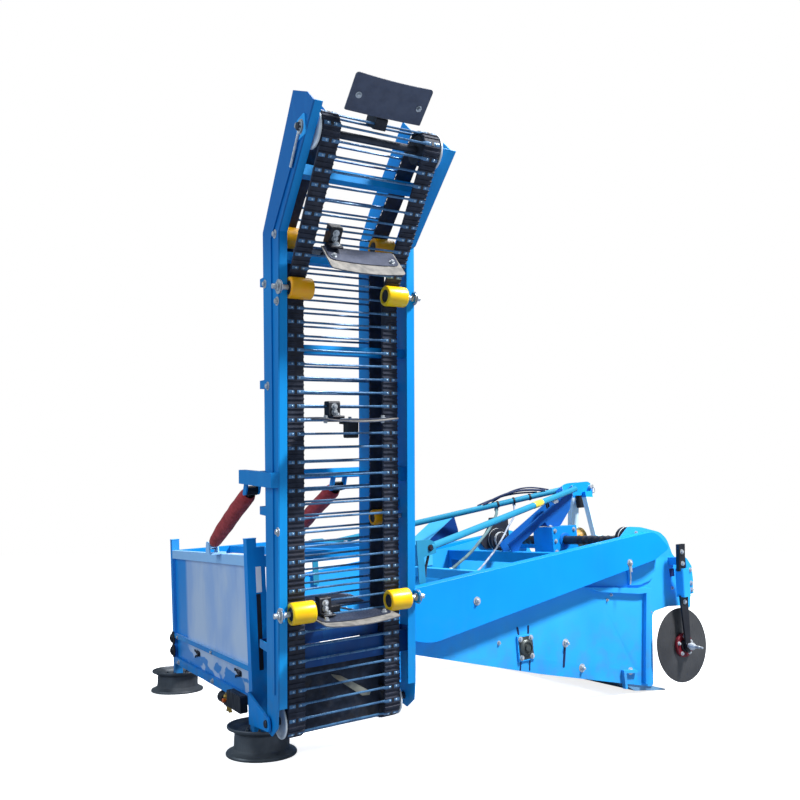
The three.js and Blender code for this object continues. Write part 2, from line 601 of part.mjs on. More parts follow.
function channel(outlineTop, end, wall, flange) {
  const fold = [low(...FOLD_LOW), FOLD, head(end, 0)];
  const inner = [head(end, -5), head(0, -5), low(FOLD_LOW[0], FOLD_LOW[1] - 5)];
  const web = crossPlate([...LOWER_OUTLINE, ...outlineTop, INNER_KINK], wall);
  const strip = crossPlate([...fold, ...inner], flange);
  const edge = wall[0] < 0 ? [wall[0], wall[0] + EAR.thick] : [wall[1] - EAR.thick, wall[1]];
  const stubs = [PRESS_LOW, KINK_PRESS].map((at) => shaftHole(wall[0] - 60, wall[1] + 60, at, 12.3));
  return fuse(web, strip, ear(PRESS_UP.low, edge), ear(PRESS_UP.kink, edge)).subtract(fuse(
    shaftHole(wall[0] - 5, wall[1] + 5, [FOOT.y, FOOT.z], SHAFT + GAP),
    shaftHole(wall[0] - 5, wall[1] + 5, TOP, SHAFT + GAP),
    stubs,
  ));
}
const REAR_WALL = [CHANNEL.rear, CHANNEL.rear + CHANNEL.thick];
const FRONT_WALL = [CHANNEL.front - CHANNEL.thick, CHANNEL.front];
add('elevator_side_rear', channel(
  [head(HEAD_END.rear, 0), [-1044, 2884], [-900, 2966]], HEAD_END.rear, REAR_WALL,
  [CHANNEL.rear, CHANNEL.rear + CHANNEL.flange]), PAINT);
const TUBES = [               // cross tubes: centre [y, z], height, depth
  [low(285, 78), 100, 36], [low(1720, 82), 42, 42], [low(2155, 82), 42, 42], [head(270, -62), 50, 50],
];
add('elevator_side_front', fuse(
  channel([head(HEAD_END.front, 0), head(HEAD_END.front, -HEAD_DEPTH), head(20, -HEAD_DEPTH - 60)],
    HEAD_END.front, FRONT_WALL, [CHANNEL.front - CHANNEL.flange, CHANNEL.front]),
  TUBES.map(([[y, z], tall, deep]) => bar([REAR_WALL[1] + GAP, y, z], [FRONT_WALL[0] + 1, y, z],
    deep, tall)),
), PAINT);

// Loop round the lower shaft, the carrying roller at the kink, the top shaft and the pressing
// roller outside the kink: y, z, radius.
const KINK_CARRY = [-532, 2434];
const ELEVATOR_LOOP = [
  [FOOT.y, FOOT.z, 72], [...KINK_CARRY, ROLLER + BELT / 2 + 1], [...TOP, 76],
  [...KINK_PRESS, -(ROLLER + BELT / 2 + 1)],
];
const RODS = loopPlaces(ELEVATOR_LOOP, 92, 0.72);
const PADDLE = { from: 118, to: 496, root: 34, tip: 202, thick: 10 };
const PADDLES = [             // rod that carries it, its clamp's x, tilt in degrees
  [10, 306, 4], [24, 409, 4], [37, 306, 4], [48, 306, 14], [57, 180, 14], [70, 242, 3], [84, 190, 4],
];
function paddle([rod, clampX, degrees]) {
  const { u, v, angle } = RODS[rod];
  const [c, s] = [Math.cos(angle), Math.sin(angle)];
  const tilt = THREE.MathUtils.degToRad(degrees);
  const at = (x, out, along) => [x, u + out * c - along * s, v + out * s + along * c];
  const blade = (distance) => at((PADDLE.from + PADDLE.to) / 2,
    distance * Math.cos(tilt), distance * Math.sin(tilt));
  const up = [0, -s, c];
  return fuse(
    bar(at(clampX, -ROD / 2 - 3, -34), at(clampX, PADDLE.root - 6, -34), 48, 84, up),
    bar(at(clampX, PADDLE.root - 30, -2), at(clampX, PADDLE.root + 46, 0), 48, 30, up),
    bar(blade(PADDLE.root), blade(PADDLE.tip), PADDLE.to - PADDLE.from, PADDLE.thick, up),
  );
}
add('elevator_web', fuse(longWeb(ELEVATOR_LOOP, BELTS, RODS, false), PADDLES.map(paddle)), RUBBER);

// Side boards stand on the carrying side, inside the belts, on short arms from the channels.
const BOARD = { tall: 130, thick: 4, near: 18 };
const BOARD_ARMS = [330, 960, 1560, 2050];
const runOut = (up) => -31.5 + 0.024 * up;      // carrying run, out from the inner edge
// Points on the carrying run, each with the direction that leads away from the web.
const KINK_SIDE = [Math.cos((LEAN + HEAD_LEAN) / 2), Math.sin((LEAN + HEAD_LEAN) / 2)];
const BOARD_LINE = [
  [low(150, runOut(150)), [LC, LS]],
  [low(2180, runOut(2180)), [LC, LS]],
  [KINK_CARRY.map((v, i) => v + 57 * KINK_SIDE[i]), KINK_SIDE],
  [head(40, -148), [HC, HS]],
  [head(520, -118), [HC, HS]],
];
function sideBoard(x0, wallX, footX) {
  const shifted = (away) => BOARD_LINE.map(([[y, z], [ly, lz]]) => [y + away * ly, z + away * lz]);
  const near = shifted(BOARD.near);
  const far = shifted(BOARD.tall).reverse();
  const board = crossPlate([...near, ...far], [x0, x0 + BOARD.thick]);
  const arms = BOARD_ARMS.map((up) => {
    const run = runOut(up);
    const reach = [x0 + 1, footX].sort((a, b) => a - b);
    const foot = [footX, wallX].sort((a, b) => a - b);
    return fuse(
      crossPlate([low(up - 20, run - 76), low(up + 20, run - 76), low(up + 20, run - 70),
        low(up - 20, run - 70)], reach),
      crossPlate([low(up - 20, run - 76), low(up + 20, run - 76), low(up + 20, 25),
        low(up - 20, 25)], foot),
    );
  });
  return fuse(board, arms);
}
add('side_board_rear', sideBoard(93 - BOARD.thick, REAR_WALL[1] + GAP, REAR_WALL[1] + GAP + 6), PAINT);
add('side_board_front', sideBoard(519, FRONT_WALL[0] - GAP, FRONT_WALL[0] - GAP - 6), PAINT);

// Shafts with belt drums and pale turning discs.
function turningShaft([y, z], radius, [from, to]) {
  const drum = radius - BELT / 2 - 1;
  return fuse(
    round([from, y, z], [to, y, z], SHAFT, 16),
    BELTS.map(([x0, x1]) => round([x0, y, z], [x1, y, z], drum, 24)),
    round([BELTS[0][0] - 14, y, z], [BELTS[0][0] - 4, y, z], radius + 8, 24),
    round([BELTS[1][1] + 4, y, z], [BELTS[1][1] + 14, y, z], radius + 8, 24),
  );
}
add('elevator_lower_shaft', turningShaft([FOOT.y, FOOT.z], 72, [-72, FRONT_BRACKET + 24]), STEEL);
add('elevator_top_shaft', turningShaft(TOP, 76, [CHANNEL.rear - 24, CHANNEL.front + 24]), STEEL);

// Rollers on stub bolts: pressing ones outside, carrying ones inside.
function pressRoller([y, z], [x0, x1], stub) {
  return fuse(
    round([x0, y, z], [x1, y, z], ROLLER, 20),
    round([stub, y, z], [x0 + 5, y, z], 12, 12),
  );
}
const REAR_ROLLER = [-2, 113];
const FRONT_ROLLER = [500, 615];
[['low', PRESS_LOW], ['kink', KINK_PRESS]].forEach(([place, centre]) => {
  add(`press_roller_${place}_rear`, pressRoller(centre, REAR_ROLLER, -78), YELLOW);
  add(`press_roller_${place}_front`, fuse(
    round([FRONT_ROLLER[0], ...centre], [FRONT_ROLLER[1], ...centre], ROLLER, 20),
    round([FRONT_ROLLER[1] - 5, ...centre], [CHANNEL.front + 32, ...centre], 12, 12),
  ), YELLOW);
});
[['kink', KINK_CARRY, ROLLER], ['middle', low(900, 36), 38]].forEach(([place, centre, radius]) => {
  add(`carry_roller_${place}_rear`, fuse(
    round([REAR_ROLLER[0], ...centre], [REAR_ROLLER[1], ...centre], radius, 20),
    round([REAR_WALL[1] + GAP, ...centre], [REAR_ROLLER[0] + 5, ...centre], 12, 12),
  ), YELLOW);
  add(`carry_roller_${place}_front`, fuse(
    round([FRONT_ROLLER[0], ...centre], [FRONT_ROLLER[1], ...centre], radius, 20),
    round([FRONT_ROLLER[1] - 5, ...centre], [FRONT_WALL[0] - GAP, ...centre], 12, 12),
  ), YELLOW);
});

// Arms and tube that carry the tilt cylinders.
const ARM = { up: 1115, tall: 68, inner: -268, outer: 178 };
const armBox = (x0, x1, outer) => crossPlate([
  low(ARM.up - ARM.tall / 2, ARM.inner), low(ARM.up - ARM.tall / 2, outer),
  low(ARM.up + ARM.tall / 2, outer), low(ARM.up + ARM.tall / 2, ARM.inner),
], [x0, x1]);
const tubeCentre = low(ARM.up, ARM.inner + 24);
const LUG = 30;
function eyeLugs(x) {
  const [ty, tz] = tubeCentre;
  const corners = [
    [ty - 24, tz - 18], [ty + 24, tz - 18], [EYE.y + 26, EYE.z - 22, 18], [EYE.y - 26, EYE.z - 22, 18],
  ];
  return [-1, 1].map((side) => crossPlate(corners,
    [x + side * LUG, x + side * (LUG + 8)].sort((a, b) => a - b)));
}
add('cylinder_arm', fuse(
  armBox(CHANNEL.rear - 36, CHANNEL.rear - GAP, ARM.outer),
  armBox(FRONT_WALL[0] - 36, FRONT_WALL[0] - GAP, 100),
  bar([CHANNEL.rear - 20, ...tubeCentre], [FRONT_WALL[0] - 10, ...tubeCentre], 46, 46, [0, LS, LC]),
  CYLINDER_X.map(eyeLugs),
), PAINT);

// Tilt cylinders: sleeved barrel hung from the arm, rod to the frame.
const AIM = [BASE.y - EYE.y, BASE.z - EYE.z];
const CLOSED = Math.hypot(...AIM);
const aimed = (x, distance) => [
  x, EYE.y + (AIM[0] * distance) / CLOSED, EYE.z + (AIM[1] * distance) / CLOSED];
const BARREL = { radius: 40, neck: 62, length: 600, rod: 18, bore: 19 };
CYLINDER_X.forEach((x, i) => {
  const place = ['rear', 'front'][i];
  const bore = round(aimed(x, 40), aimed(x, BARREL.length + 10), BARREL.bore, 16);
  add(`cylinder_barrel_${place}`, fuse(
    round([x - LUG + 1.5, EYE.y, EYE.z], [x + LUG - 1.5, EYE.y, EYE.z], 24, 16),
    round(aimed(x, 0), aimed(x, BARREL.neck + 8), 24, 16),
    round(aimed(x, BARREL.neck), aimed(x, BARREL.length), BARREL.radius, 20),
  ).subtract(bore), MAROON);
  add(`cylinder_rod_${place}`, fuse(
    round(aimed(x, 60), aimed(x, CLOSED), BARREL.rod, 16),
    round([x - 19.5, BASE.y, BASE.z], [x + 19.5, BASE.y, BASE.z], 22, 16),
  ), STEEL);
});

const harvester = new THREE.Group();
harvester.add(machine, floorStand);
export default harvester;
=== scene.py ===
"""Looks of a tractor-mounted root crop harvester: share, bar webs and a folded side elevator,
parked on two bare wheel rims. Metres, +X forward, +Y left, +Z up."""

import json
import math

import bmesh
import bpy
import numpy as np
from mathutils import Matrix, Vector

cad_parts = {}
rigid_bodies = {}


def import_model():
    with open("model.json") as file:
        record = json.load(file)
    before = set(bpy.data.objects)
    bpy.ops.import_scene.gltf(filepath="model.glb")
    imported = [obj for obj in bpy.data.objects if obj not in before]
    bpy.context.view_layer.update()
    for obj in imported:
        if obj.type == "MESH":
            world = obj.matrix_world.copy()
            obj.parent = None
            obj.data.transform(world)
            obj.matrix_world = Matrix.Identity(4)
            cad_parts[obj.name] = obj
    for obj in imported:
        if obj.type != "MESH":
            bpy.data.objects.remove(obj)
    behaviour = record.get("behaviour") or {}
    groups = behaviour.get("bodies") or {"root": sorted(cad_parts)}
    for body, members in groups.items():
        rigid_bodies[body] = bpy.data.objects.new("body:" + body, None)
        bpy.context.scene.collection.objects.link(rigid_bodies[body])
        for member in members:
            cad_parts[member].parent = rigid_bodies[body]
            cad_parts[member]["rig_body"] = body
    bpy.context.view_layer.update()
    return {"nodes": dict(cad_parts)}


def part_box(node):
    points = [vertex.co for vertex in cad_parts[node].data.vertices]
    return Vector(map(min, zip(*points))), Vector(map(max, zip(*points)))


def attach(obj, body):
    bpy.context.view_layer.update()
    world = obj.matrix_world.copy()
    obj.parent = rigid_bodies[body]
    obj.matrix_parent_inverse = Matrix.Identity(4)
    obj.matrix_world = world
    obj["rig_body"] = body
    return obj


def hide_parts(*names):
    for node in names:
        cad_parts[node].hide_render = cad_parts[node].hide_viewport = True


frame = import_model()

# ---------------------------------------------------------------- studio
# A pale floor under soft light. The camera stands low behind the right rear corner and looks
# up a little, so that the folded elevator towers over the frame.
CAMERA_PLACE = (-2.917, -4.16525, 1.045)
CAMERA_HEADING = math.radians(60.1 - 90)
FRAME_WIDTH, FOCAL, HORIZON_DROP = 800, 770, 135        # in one unit; the drop tilts it upwards
camera_data = bpy.data.cameras.new("camera")
camera_data.sensor_width = 36
camera_data.lens = camera_data.sensor_width * FOCAL / FRAME_WIDTH
camera = bpy.data.objects.new("camera", camera_data)
camera.location = CAMERA_PLACE
camera.rotation_euler = (math.pi / 2 + math.atan(HORIZON_DROP / FOCAL), 0, CAMERA_HEADING)
bpy.context.scene.collection.objects.link(camera)
bpy.context.scene.camera = camera
bpy.context.scene.view_settings.view_transform = "Standard"


def node_graph(name):
    """A new material and its node tree, with the default nodes taken out."""
    material = bpy.data.materials.new(name)
    material.use_nodes = True
    material.node_tree.nodes.clear()
    return material, material.node_tree


def wire(tree, node, **inputs):
    """Sets inputs of a node or of a new node of that kind: a number or tuple as its value, an
    output as a link. "_2" is the third input."""
    if isinstance(node, str):
        node = tree.nodes.new("ShaderNode" + node)
    for key, value in inputs.items():
        number = key[0] == "_"
        socket = node.inputs[int(key[1:]) if number else key.replace("_", " ")]
        if isinstance(value, bpy.types.NodeSocket):
            tree.links.new(value, socket)
        else:
            socket.default_value = value
    return node


def white_for_camera(tree, seen, lit):
    """The shader that lights the object, and "seen" where the camera looks straight at it."""
    path = tree.nodes.new("ShaderNodeLightPath").outputs["Is Camera Ray"]
    return wire(tree, "MixShader", _0=path, _1=lit, _2=seen).outputs[0]


def shader(tree, kind, colour, **inputs):
    """The output of a new plain shader of that kind."""
    return wire(tree, kind, Color=(*colour, 1), **inputs).outputs[0]


WHITE, FILL_LIGHT, FLOOR_SEEN, FLOOR_LIT = (1, 1, 1), (0.70, 0.86, 1.0), (0.92,) * 3, (0.26, 0.29, 0.34)
world = bpy.data.worlds.new("studio")
world.use_nodes = True
sky = world.node_tree
sky.nodes.clear()
wire(sky, "OutputWorld",
     Surface=white_for_camera(sky, shader(sky, "Background", WHITE),
                              shader(sky, "Background", FILL_LIGHT, Strength=0.30)))
bpy.context.scene.world = world


def soft_lamp(name, place, aim, size, power, colour=WHITE):
    """A square area lamp at "place", facing "aim"."""
    data = bpy.data.lights.new(name, "AREA")
    data.size = size
    data.energy = power
    data.color = colour
    lamp = bpy.data.objects.new(name, data)
    lamp.location = place
    toward = np.subtract(aim, place)
    flat = math.hypot(toward[0], toward[1])
    lamp.rotation_euler = (math.pi / 2 + math.atan2(toward[2], flat), 0,
                           math.atan2(toward[1], toward[0]) - math.pi / 2)
    bpy.context.scene.collection.objects.link(lamp)


soft_lamp("key", (4.0, -5.7, 9.6), (0, 0, 1), 1.4, 2350)
soft_lamp("top", (1.5, 1.0, 8.0), (0.3, 0, 0.5), 5.0, 260)
soft_lamp("rear", (-7.0, -0.5, 3.5), (-1.0, 0, 1), 4.0, 175, (0.82, 0.92, 1.0))

floor_mesh = bpy.data.meshes.new("floor")
reach = 40.0
floor_mesh.from_pydata([(-reach, -reach, 0), (reach, -reach, 0), (reach, reach, 0), (-reach, reach, 0)],
                       [], [(0, 1, 2, 3)])
floor = bpy.data.objects.new("floor", floor_mesh)
bpy.context.scene.collection.objects.link(floor)
floor_material, tree = node_graph("pale_floor")
lifted = wire(tree, "AddShader", _0=shader(tree, "BsdfDiffuse", FLOOR_SEEN),
              _1=shader(tree, "Emission", WHITE, Strength=0.84))
wire(tree, "OutputMaterial",
     Surface=white_for_camera(tree, lifted.outputs[0], shader(tree, "BsdfDiffuse", FLOOR_LIT)))
floor_mesh.materials.append(floor_material)


# ---------------------------------------------------------------- hydraulic hoses
# Four rubber hoses, hung between fittings on the mast's braces and the frame: two on the rear
# beam, two on the gearbox. Cloth-wrapped covers, dusty; each end is swaged into a steel ferrule.
PITCH = math.radians(4.46)
RIM_LOW, RIM_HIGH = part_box("rim_stand_right")
RIM_CENTRE = ((RIM_LOW.x + RIM_HIGH.x) / 2, (RIM_LOW.y + RIM_HIGH.y) / 2)
MM = 0.001


def pitched(points):
    """Machine millimetres (nose level, from the right rim's centre on the floor) to the frame's
    metres: turned nose up by the pitch, then moved to the rim's centre."""
    x, y, z = np.moveaxis(np.asarray(points, float) * MM, -1, 0)
    sine, cosine = math.sin(PITCH), math.cos(PITCH)
    return np.stack([x * cosine - z * sine + RIM_CENTRE[0], y + RIM_CENTRE[1],
                     x * sine + z * cosine], -1)


def noise(tree, scale, detail=3, stretch=(1, 1, 1), roughness=0.5):
    """Noise on Object coordinates, stretched along an axis by "stretch"; its factor output."""
    place = tree.nodes.new("ShaderNodeTexCoord").outputs["Object"]
    mapping = wire(tree, "Mapping", Vector=place, Scale=stretch)
    return wire(tree, "TexNoise", Vector=mapping.outputs[0], Scale=scale, Detail=detail,
                Roughness=roughness).outputs["Fac"]


def spread(tree, factor, low, high, to_low=0.0, to_high=1.0):
    """The factor carried from low..high to to_low..to_high, and clipped."""
    return wire(tree, "MapRange", Value=factor, From_Min=low, From_Max=high, To_Min=to_low,
                To_Max=to_high).outputs[0]


def product(tree, first, *others):
    """All factors multiplied, each a number or an output."""
    for other in others:
        node = wire(tree, "Math", _0=first, _1=other)
        node.operation = "MULTIPLY"
        first = node.outputs[0]
    return first


def patches(tree, scale, detail, low, high, share=None, **kind):
    """Soft patches where noise rises from low to high, "share" strong."""
    mask = spread(tree, noise(tree, scale, detail, **kind), low, high)
    return mask if share is None else product(tree, mask, share)


def past(tree, axis, start, full):
    """1 where Object X, Y or Z is past "full" metres, seen from "start", and 0 before "start"."""
    place = tree.nodes.new("ShaderNodeTexCoord").outputs["Object"]
    return spread(tree, wire(tree, "SeparateXYZ", Vector=place).outputs[axis], start, full)


def tint(red, green, blue):
    """A display colour of 0..255 to the linear colour that shaders use."""
    shares = np.array([red, green, blue]) / 255
    linear = np.where(shares < 0.04045, shares / 12.92, ((shares + 0.055) / 1.055) ** 2.4)
    return (*linear.tolist(), 1.0)


def mixed(tree, factor, *colours):
    """Colour mix of two colours, each an output or a display colour."""
    first, second = (tint(*colour) if isinstance(colour, tuple) else colour for colour in colours)
    node = tree.nodes.new("ShaderNodeMix")
    node.data_type = "RGBA"
    return wire(tree, node, _0=factor, _6=first, _7=second).outputs[2]


def finished(material, base, roughness, bump, metal=0.0, coat=0.0, sheen=0.0, specular=0.5):
    """Closes a material: a Principled shader with the base colour, roughness and a bump made of
    (height, strength, distance)."""
    tree = material.node_tree
    height, strength, distance = bump
    relief = wire(tree, "Bump", Height=height, Strength=strength, Distance=distance)
    paint = wire(tree, "BsdfPrincipled", Base_Color=base, Roughness=roughness,
                 Normal=relief.outputs[0], Metallic=metal, Coat_Weight=coat, Coat_Roughness=0.18,
                 Sheen_Weight=sheen, Specular_IOR_Level=specular)
    wire(tree, "OutputMaterial", Surface=paint.outputs[0])
    return material


def edge_split(mesh, angle=32):
    """Smooth faces with sharp edges wherever two faces meet at more than "angle" degrees."""
    mesh.polygons.foreach_set("use_smooth", np.ones(len(mesh.polygons), bool))
    mesh.set_sharp_from_angle(angle=math.radians(angle))


def mounted(name, mesh, material, body, replaced=()):
    """An object of the mesh with its material, on a body, that stands for the CAD nodes named."""
    mesh.materials.clear()
    mesh.materials.append(material)
    piece = bpy.data.objects.new(name, mesh)
    bpy.context.scene.collection.objects.link(piece)
    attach(piece, body)
    if replaced:
        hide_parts(*replaced)
    return piece


def surface(grid, ring_u=False, ring_v=False):
    """The quads of a grid of points, rows by columns, closed on itself where a ring is asked for."""
    rows, columns = grid.shape[:2]
    u = np.arange(rows if ring_u else rows - 1)[:, None]
    v = np.arange(columns if ring_v else columns - 1)[None, :]
    up, right = (u + 1) % rows, (v + 1) % columns
    corners = [u * columns + v, up * columns + v, up * columns + right, u * columns + right]
    return grid.reshape(-1, 3), [np.stack(corners, -1).reshape(-1, 4)]


def joined(parts):
    """Several (points, faces) as one."""
    start, points, faces = 0, [], []
    for place, groups in parts:
        points.append(place)
        faces += [group + start for group in groups]
        start += len(place)
    return np.concatenate(points), faces


def build(name, parts, material, body, slot, replaced=(), angle=32, place=pitched):
    """A mesh object of the parts, taken to the frame by "place". Seams and poles are merged and
    faces turned outwards."""
    points, faces = joined(parts)
    mesh = bpy.data.meshes.new(name)
    mesh.from_pydata(place(points).tolist(), [], [face for group in faces for face in group.tolist()])
    work = bmesh.new()
    work.from_mesh(mesh)
    bmesh.ops.remove_doubles(work, verts=work.verts, dist=2e-6)
    bmesh.ops.recalc_face_normals(work, faces=work.faces)
    work.to_mesh(mesh)
    work.free()
    edge_split(mesh, angle)
    return mounted(name, mesh, material, body, replaced)


def swept(path, side, up, profile, closed=False):
    """A closed profile (a, b) carried along a path: point = place + a side + b up. Side, up and
    profile hold for the whole path, or are given for each of its places."""
    path = np.asarray(path, float)
    side, up = (np.broadcast_to(np.asarray(axis, float), path.shape) for axis in (side, up))
    profile = np.asarray(profile, float)
    if profile.ndim == 2:
        profile = np.broadcast_to(profile, (len(path), *profile.shape))
    grid = path[:, None] + profile[..., :1] * side[:, None] + profile[..., 1:] * up[:, None]
    points, walls = surface(grid, ring_u=closed, ring_v=True)
    if closed:
        return points, walls
    count, last = profile.shape[1], (len(path) - 1) * profile.shape[1]
    return points, walls + [np.arange(count)[None, ::-1], np.arange(last, last + count)[None]]


def circle(radius, count):
    """Points (a, b) of a circle."""
    turn = np.linspace(0, 2 * np.pi, count, endpoint=False)
    return radius * np.stack([np.cos(turn), np.sin(turn)], -1)


def smooth_path(knots, steps=6):
    """A Catmull-Rom curve through the knots, "steps" points to a span."""
    knots = np.asarray(knots, float)
    ends = np.vstack([2 * knots[0] - knots[1], knots, 2 * knots[-1] - knots[-2]])
    t = np.linspace(0, 1, steps, endpoint=False)[:, None]
    p0, p1, p2, p3 = (ends[i:len(ends) - 3 + i, None] for i in range(4))
    curve = 0.5 * (2 * p1 + (p2 - p0) * t + (2 * p0 - 5 * p1 + 4 * p2 - p3) * t ** 2
                   + (3 * p1 - p0 - 3 * p2 + p3) * t ** 3)
    return np.vstack([curve.reshape(-1, 3), knots[-1:]])


def tube(knots, radius, sides=10, steps=6, smooth=True):
    """A round bar or hose along a curve through the knots, its section square to the curve. The
    section's first axis is carried from point to point, so that it does not twist."""
    path = smooth_path(knots, steps) if smooth else np.asarray(knots, float)
    heading = np.gradient(path, axis=0)
    heading /= np.linalg.norm(heading, axis=1)[:, None]
    side = np.empty_like(path)
    last = np.cross(heading[0], (0, 0, 1) if abs(heading[0, 2]) < 0.9 else (1, 0, 0))
    for i, way in enumerate(heading):
        last = last - (last @ way) * way
        last /= np.linalg.norm(last)
        side[i] = last
    return swept(path, side, np.cross(heading, side), circle(radius, sides))


def hose_cover(name, colour, worn_colour):
    """Rubber cover with the wrap's fine weave (two crossed bands at 45 degrees) and dust."""
    material, tree = node_graph(name)
    base = mixed(tree, patches(tree, 16, 4, 0.38, 0.66), colour, worn_colour)
    weave = product(tree, noise(tree, 700, 1, (1, 0.2, 0.6)), noise(tree, 700, 1, (0.2, 1, 0.6)))
    return finished(material, base, 0.6, (weave, 0.5, 0.0008), specular=0.3)


HOSE_COVERS = [hose_cover("hose_green", (96, 124, 128), (70, 96, 104)),
               hose_cover("hose_grey", (166, 176, 190), (128, 138, 158)),
               hose_cover("hose_black", (40, 42, 48), (60, 60, 64))]
HOSES = [                     # radius, length in metres, cover, route
  (11, 1.01, 0, [(2415, 1163, 1056), (2346, 1080, 1018), (2218, 1000, 928), (2045, 900, 845),
                  (1878, 800, 775), (1732, 720, 728), (1622, 669, 690)]),
  (7, 1.26, 1, [(2555, 1112, 1084), (2456, 1000, 1000), (2312, 900, 927), (2182, 800, 864),
                 (2019, 680, 793), (1857, 560, 742), (1735, 465, 708), (1622, 380, 684)]),
  (7, 0.39, 2, [(2592, 682, 1092), (2622, 770, 1102), (2662, 848, 1094), (2692, 880, 1060),
                 (2710, 885, 1010), (2712, 886, 965), (2719, 886, 918)]),
  (7, 0.39, 2, [(2622, 693, 1097), (2652, 776, 1107), (2690, 856, 1097), (2722, 892, 1060),
                 (2740, 900, 1010), (2744, 902, 965), (2752, 903, 918)]),
]
for number, (radius, length, cover, route) in enumerate(HOSES, 1):
    node = f"hydraulic_hose_{number}"
    hose = build(node + "_cover", [tube(route, radius, 12, 6)], HOSE_COVERS[cover], "root",
                 "hose_rubber", [node], angle=60)


# ---------------------------------------------------------------- painted frame
# Welded square tube and folded plate, sprayed sky blue: a gloss coat with a fine orange peel,
# chalky patches where it has weathered, and dust low down. Its edges are rounded by the folds.
# The third colour is painted shade, for the hopper's near web.
CHALK, DUST, PAINTED_SHADE_NAVY = (70, 190, 250), (96, 104, 108), (8, 54, 122)


def enamel(name, colour, shade, gloss=0.36, chalk=0.12, over=None):
    """Sprayed enamel. Base colour drifts between "colour" and "shade" within half a metre,
    "over" may lay other tones on it, fine chalk streaks run down it, and dust gathers below 0.6 m. A
    fine noise gives the orange peel."""
    material, tree = node_graph(name)
    base = mixed(tree, patches(tree, 2.2, 2, 0.35, 0.68), colour, shade)
    if over:
        base = over(tree, base)
    streaks = patches(tree, 7, 4, 0.52, 0.80, chalk, stretch=(1.6, 1.6, 0.22), roughness=0.6)
    base = mixed(tree, streaks, base, CHALK)
    grime = product(tree, past(tree, "Z", 0.62, 0.05), patches(tree, 11, 4, 0.42, 0.66), 0.35)
    base = mixed(tree, grime, base, DUST)
    worn = spread(tree, noise(tree, 5, 4), 0, 1, gloss - 0.05, gloss + 0.2)
    return finished(material, base, worn, (noise(tree, 260, 1), 0.05, 0.0006), coat=0.05,
                    specular=0.22)


def mast_tones_and_glare(tree, base):
    """The mast: navy struts behind 1.30 m, pale legs in front of it, bright clevis above 1.34 m. The
    legs' near-white is painted glare, sky reflected on their blue paint.
    """
    legs = past(tree, "X", 1.30, 1.31)
    toned = mixed(tree, legs, (20, 92, 172), (226, 250, 255))
    return mixed(tree, product(tree, past(tree, "Z", 1.335, 1.345), legs), toned, base)


def frame_tones(tree, base):
    """The rear frame: rails between the posts (Y -0.345 to 1.37 m) above 0.29 m are chalky."""
    chalky = product(tree, past(tree, "Z", 0.29, 0.30), past(tree, "Y", -0.345, -0.340),
                     past(tree, "Y", 1.373, 1.370))
    return mixed(tree, chalky, base, (157, 205, 250))


def hopper_painted_shade(tree, base):
    """The hopper plate: its near web, below Y 1.022 m, is navy, which is painted shade."""
    return mixed(tree, past(tree, "Y", 1.0225, 1.0215), base, PAINTED_SHADE_NAVY)


def channel_painted_shade(tree, base):
    """Painted shade: the rear channel's outer wall is painted deeper, most above its fold. The lowest
    cross tube, between the channels and below Z 0.60 m, is painted navy as shade."""
    forward = (math.cos(PITCH), 0, math.sin(PITCH))
    place = tree.nodes.new("ShaderNodeTexCoord").outputs["Object"]
    ahead = wire(tree, "VectorMath", _0=place, _1=forward)
    ahead.operation = "DOT_PRODUCT"
    ahead = ahead.outputs["Value"]
    rise = wire(tree, "SeparateXYZ", Vector=place).outputs["Z"]
    # The wall mask darkens the outer wall as painted shade.
    wall = product(tree, spread(tree, ahead, -1.5484, -1.5494),
                   spread(tree, rise, 2.25, 2.45, 0.5, 0.85))
    base = mixed(tree, wall, base, (2, 92, 166))
    cross_tube_shade = product(tree, spread(tree, ahead, -1.5444, -1.5434), past(tree, "X", -0.888, -0.890),
                         past(tree, "Z", 0.602, 0.598), past(tree, "Y", -0.742, -0.738))
    return mixed(tree, cross_tube_shade, base, (12, 74, 142))


FRAME_BLUE = enamel("frame_blue", (10, 148, 226), (6, 134, 216))
DEEP_BLUE = enamel("deep_blue", (2, 116, 212), (0, 98, 190))
CHANNEL_BLUE = enamel("channel_blue", (12, 156, 232), (6, 144, 224), over=channel_painted_shade)
SKY_BLUE = enamel("sky_blue", (0, 152, 238), (0, 144, 232), gloss=0.33, chalk=0.04)
LIGHT_BLUE = enamel("light_blue", (50, 174, 248), (34, 162, 244), chalk=0.12)
CYAN_BLUE = enamel("cyan_blue", (48, 144, 178), (34, 132, 168), chalk=0.10)
REAR_BLUE = enamel("rear_blue", (8, 142, 226), (4, 128, 214), over=frame_tones)
HOPPER_BLUE = enamel("hopper_blue", (84, 196, 250), (64, 180, 246), over=hopper_painted_shade)
MAST_BLUE = enamel("mast_blue", (20, 160, 240), (10, 148, 236), over=mast_tones_and_glare)


def softened(node, material, width=0.0022):
    """A copy of a CAD node with its seams merged, its flat faces joined and its edges rolled to a
    radius of "width". It stands for the node and rides on the node's body."""
    source = frame["nodes"][node]
    work = bmesh.new()
    work.from_mesh(source.data)
    bmesh.ops.remove_doubles(work, verts=work.verts, dist=2e-5)
    bmesh.ops.dissolve_limit(work, angle_limit=math.radians(0.6), verts=work.verts, edges=work.edges)
    mesh = bpy.data.meshes.new(node + "_plate")
    work.to_mesh(mesh)
    work.free()
    edge_split(mesh)
    piece = mounted(node + "_plate", mesh, material, source["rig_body"], [node])
    bevel = piece.modifiers.new("rolled_edges", "BEVEL")
    bevel.width = width
    bevel.segments = 2
    bevel.limit_method = "ANGLE"
    bevel.angle_limit = math.radians(35)
    bevel.harden_normals = True
    return piece


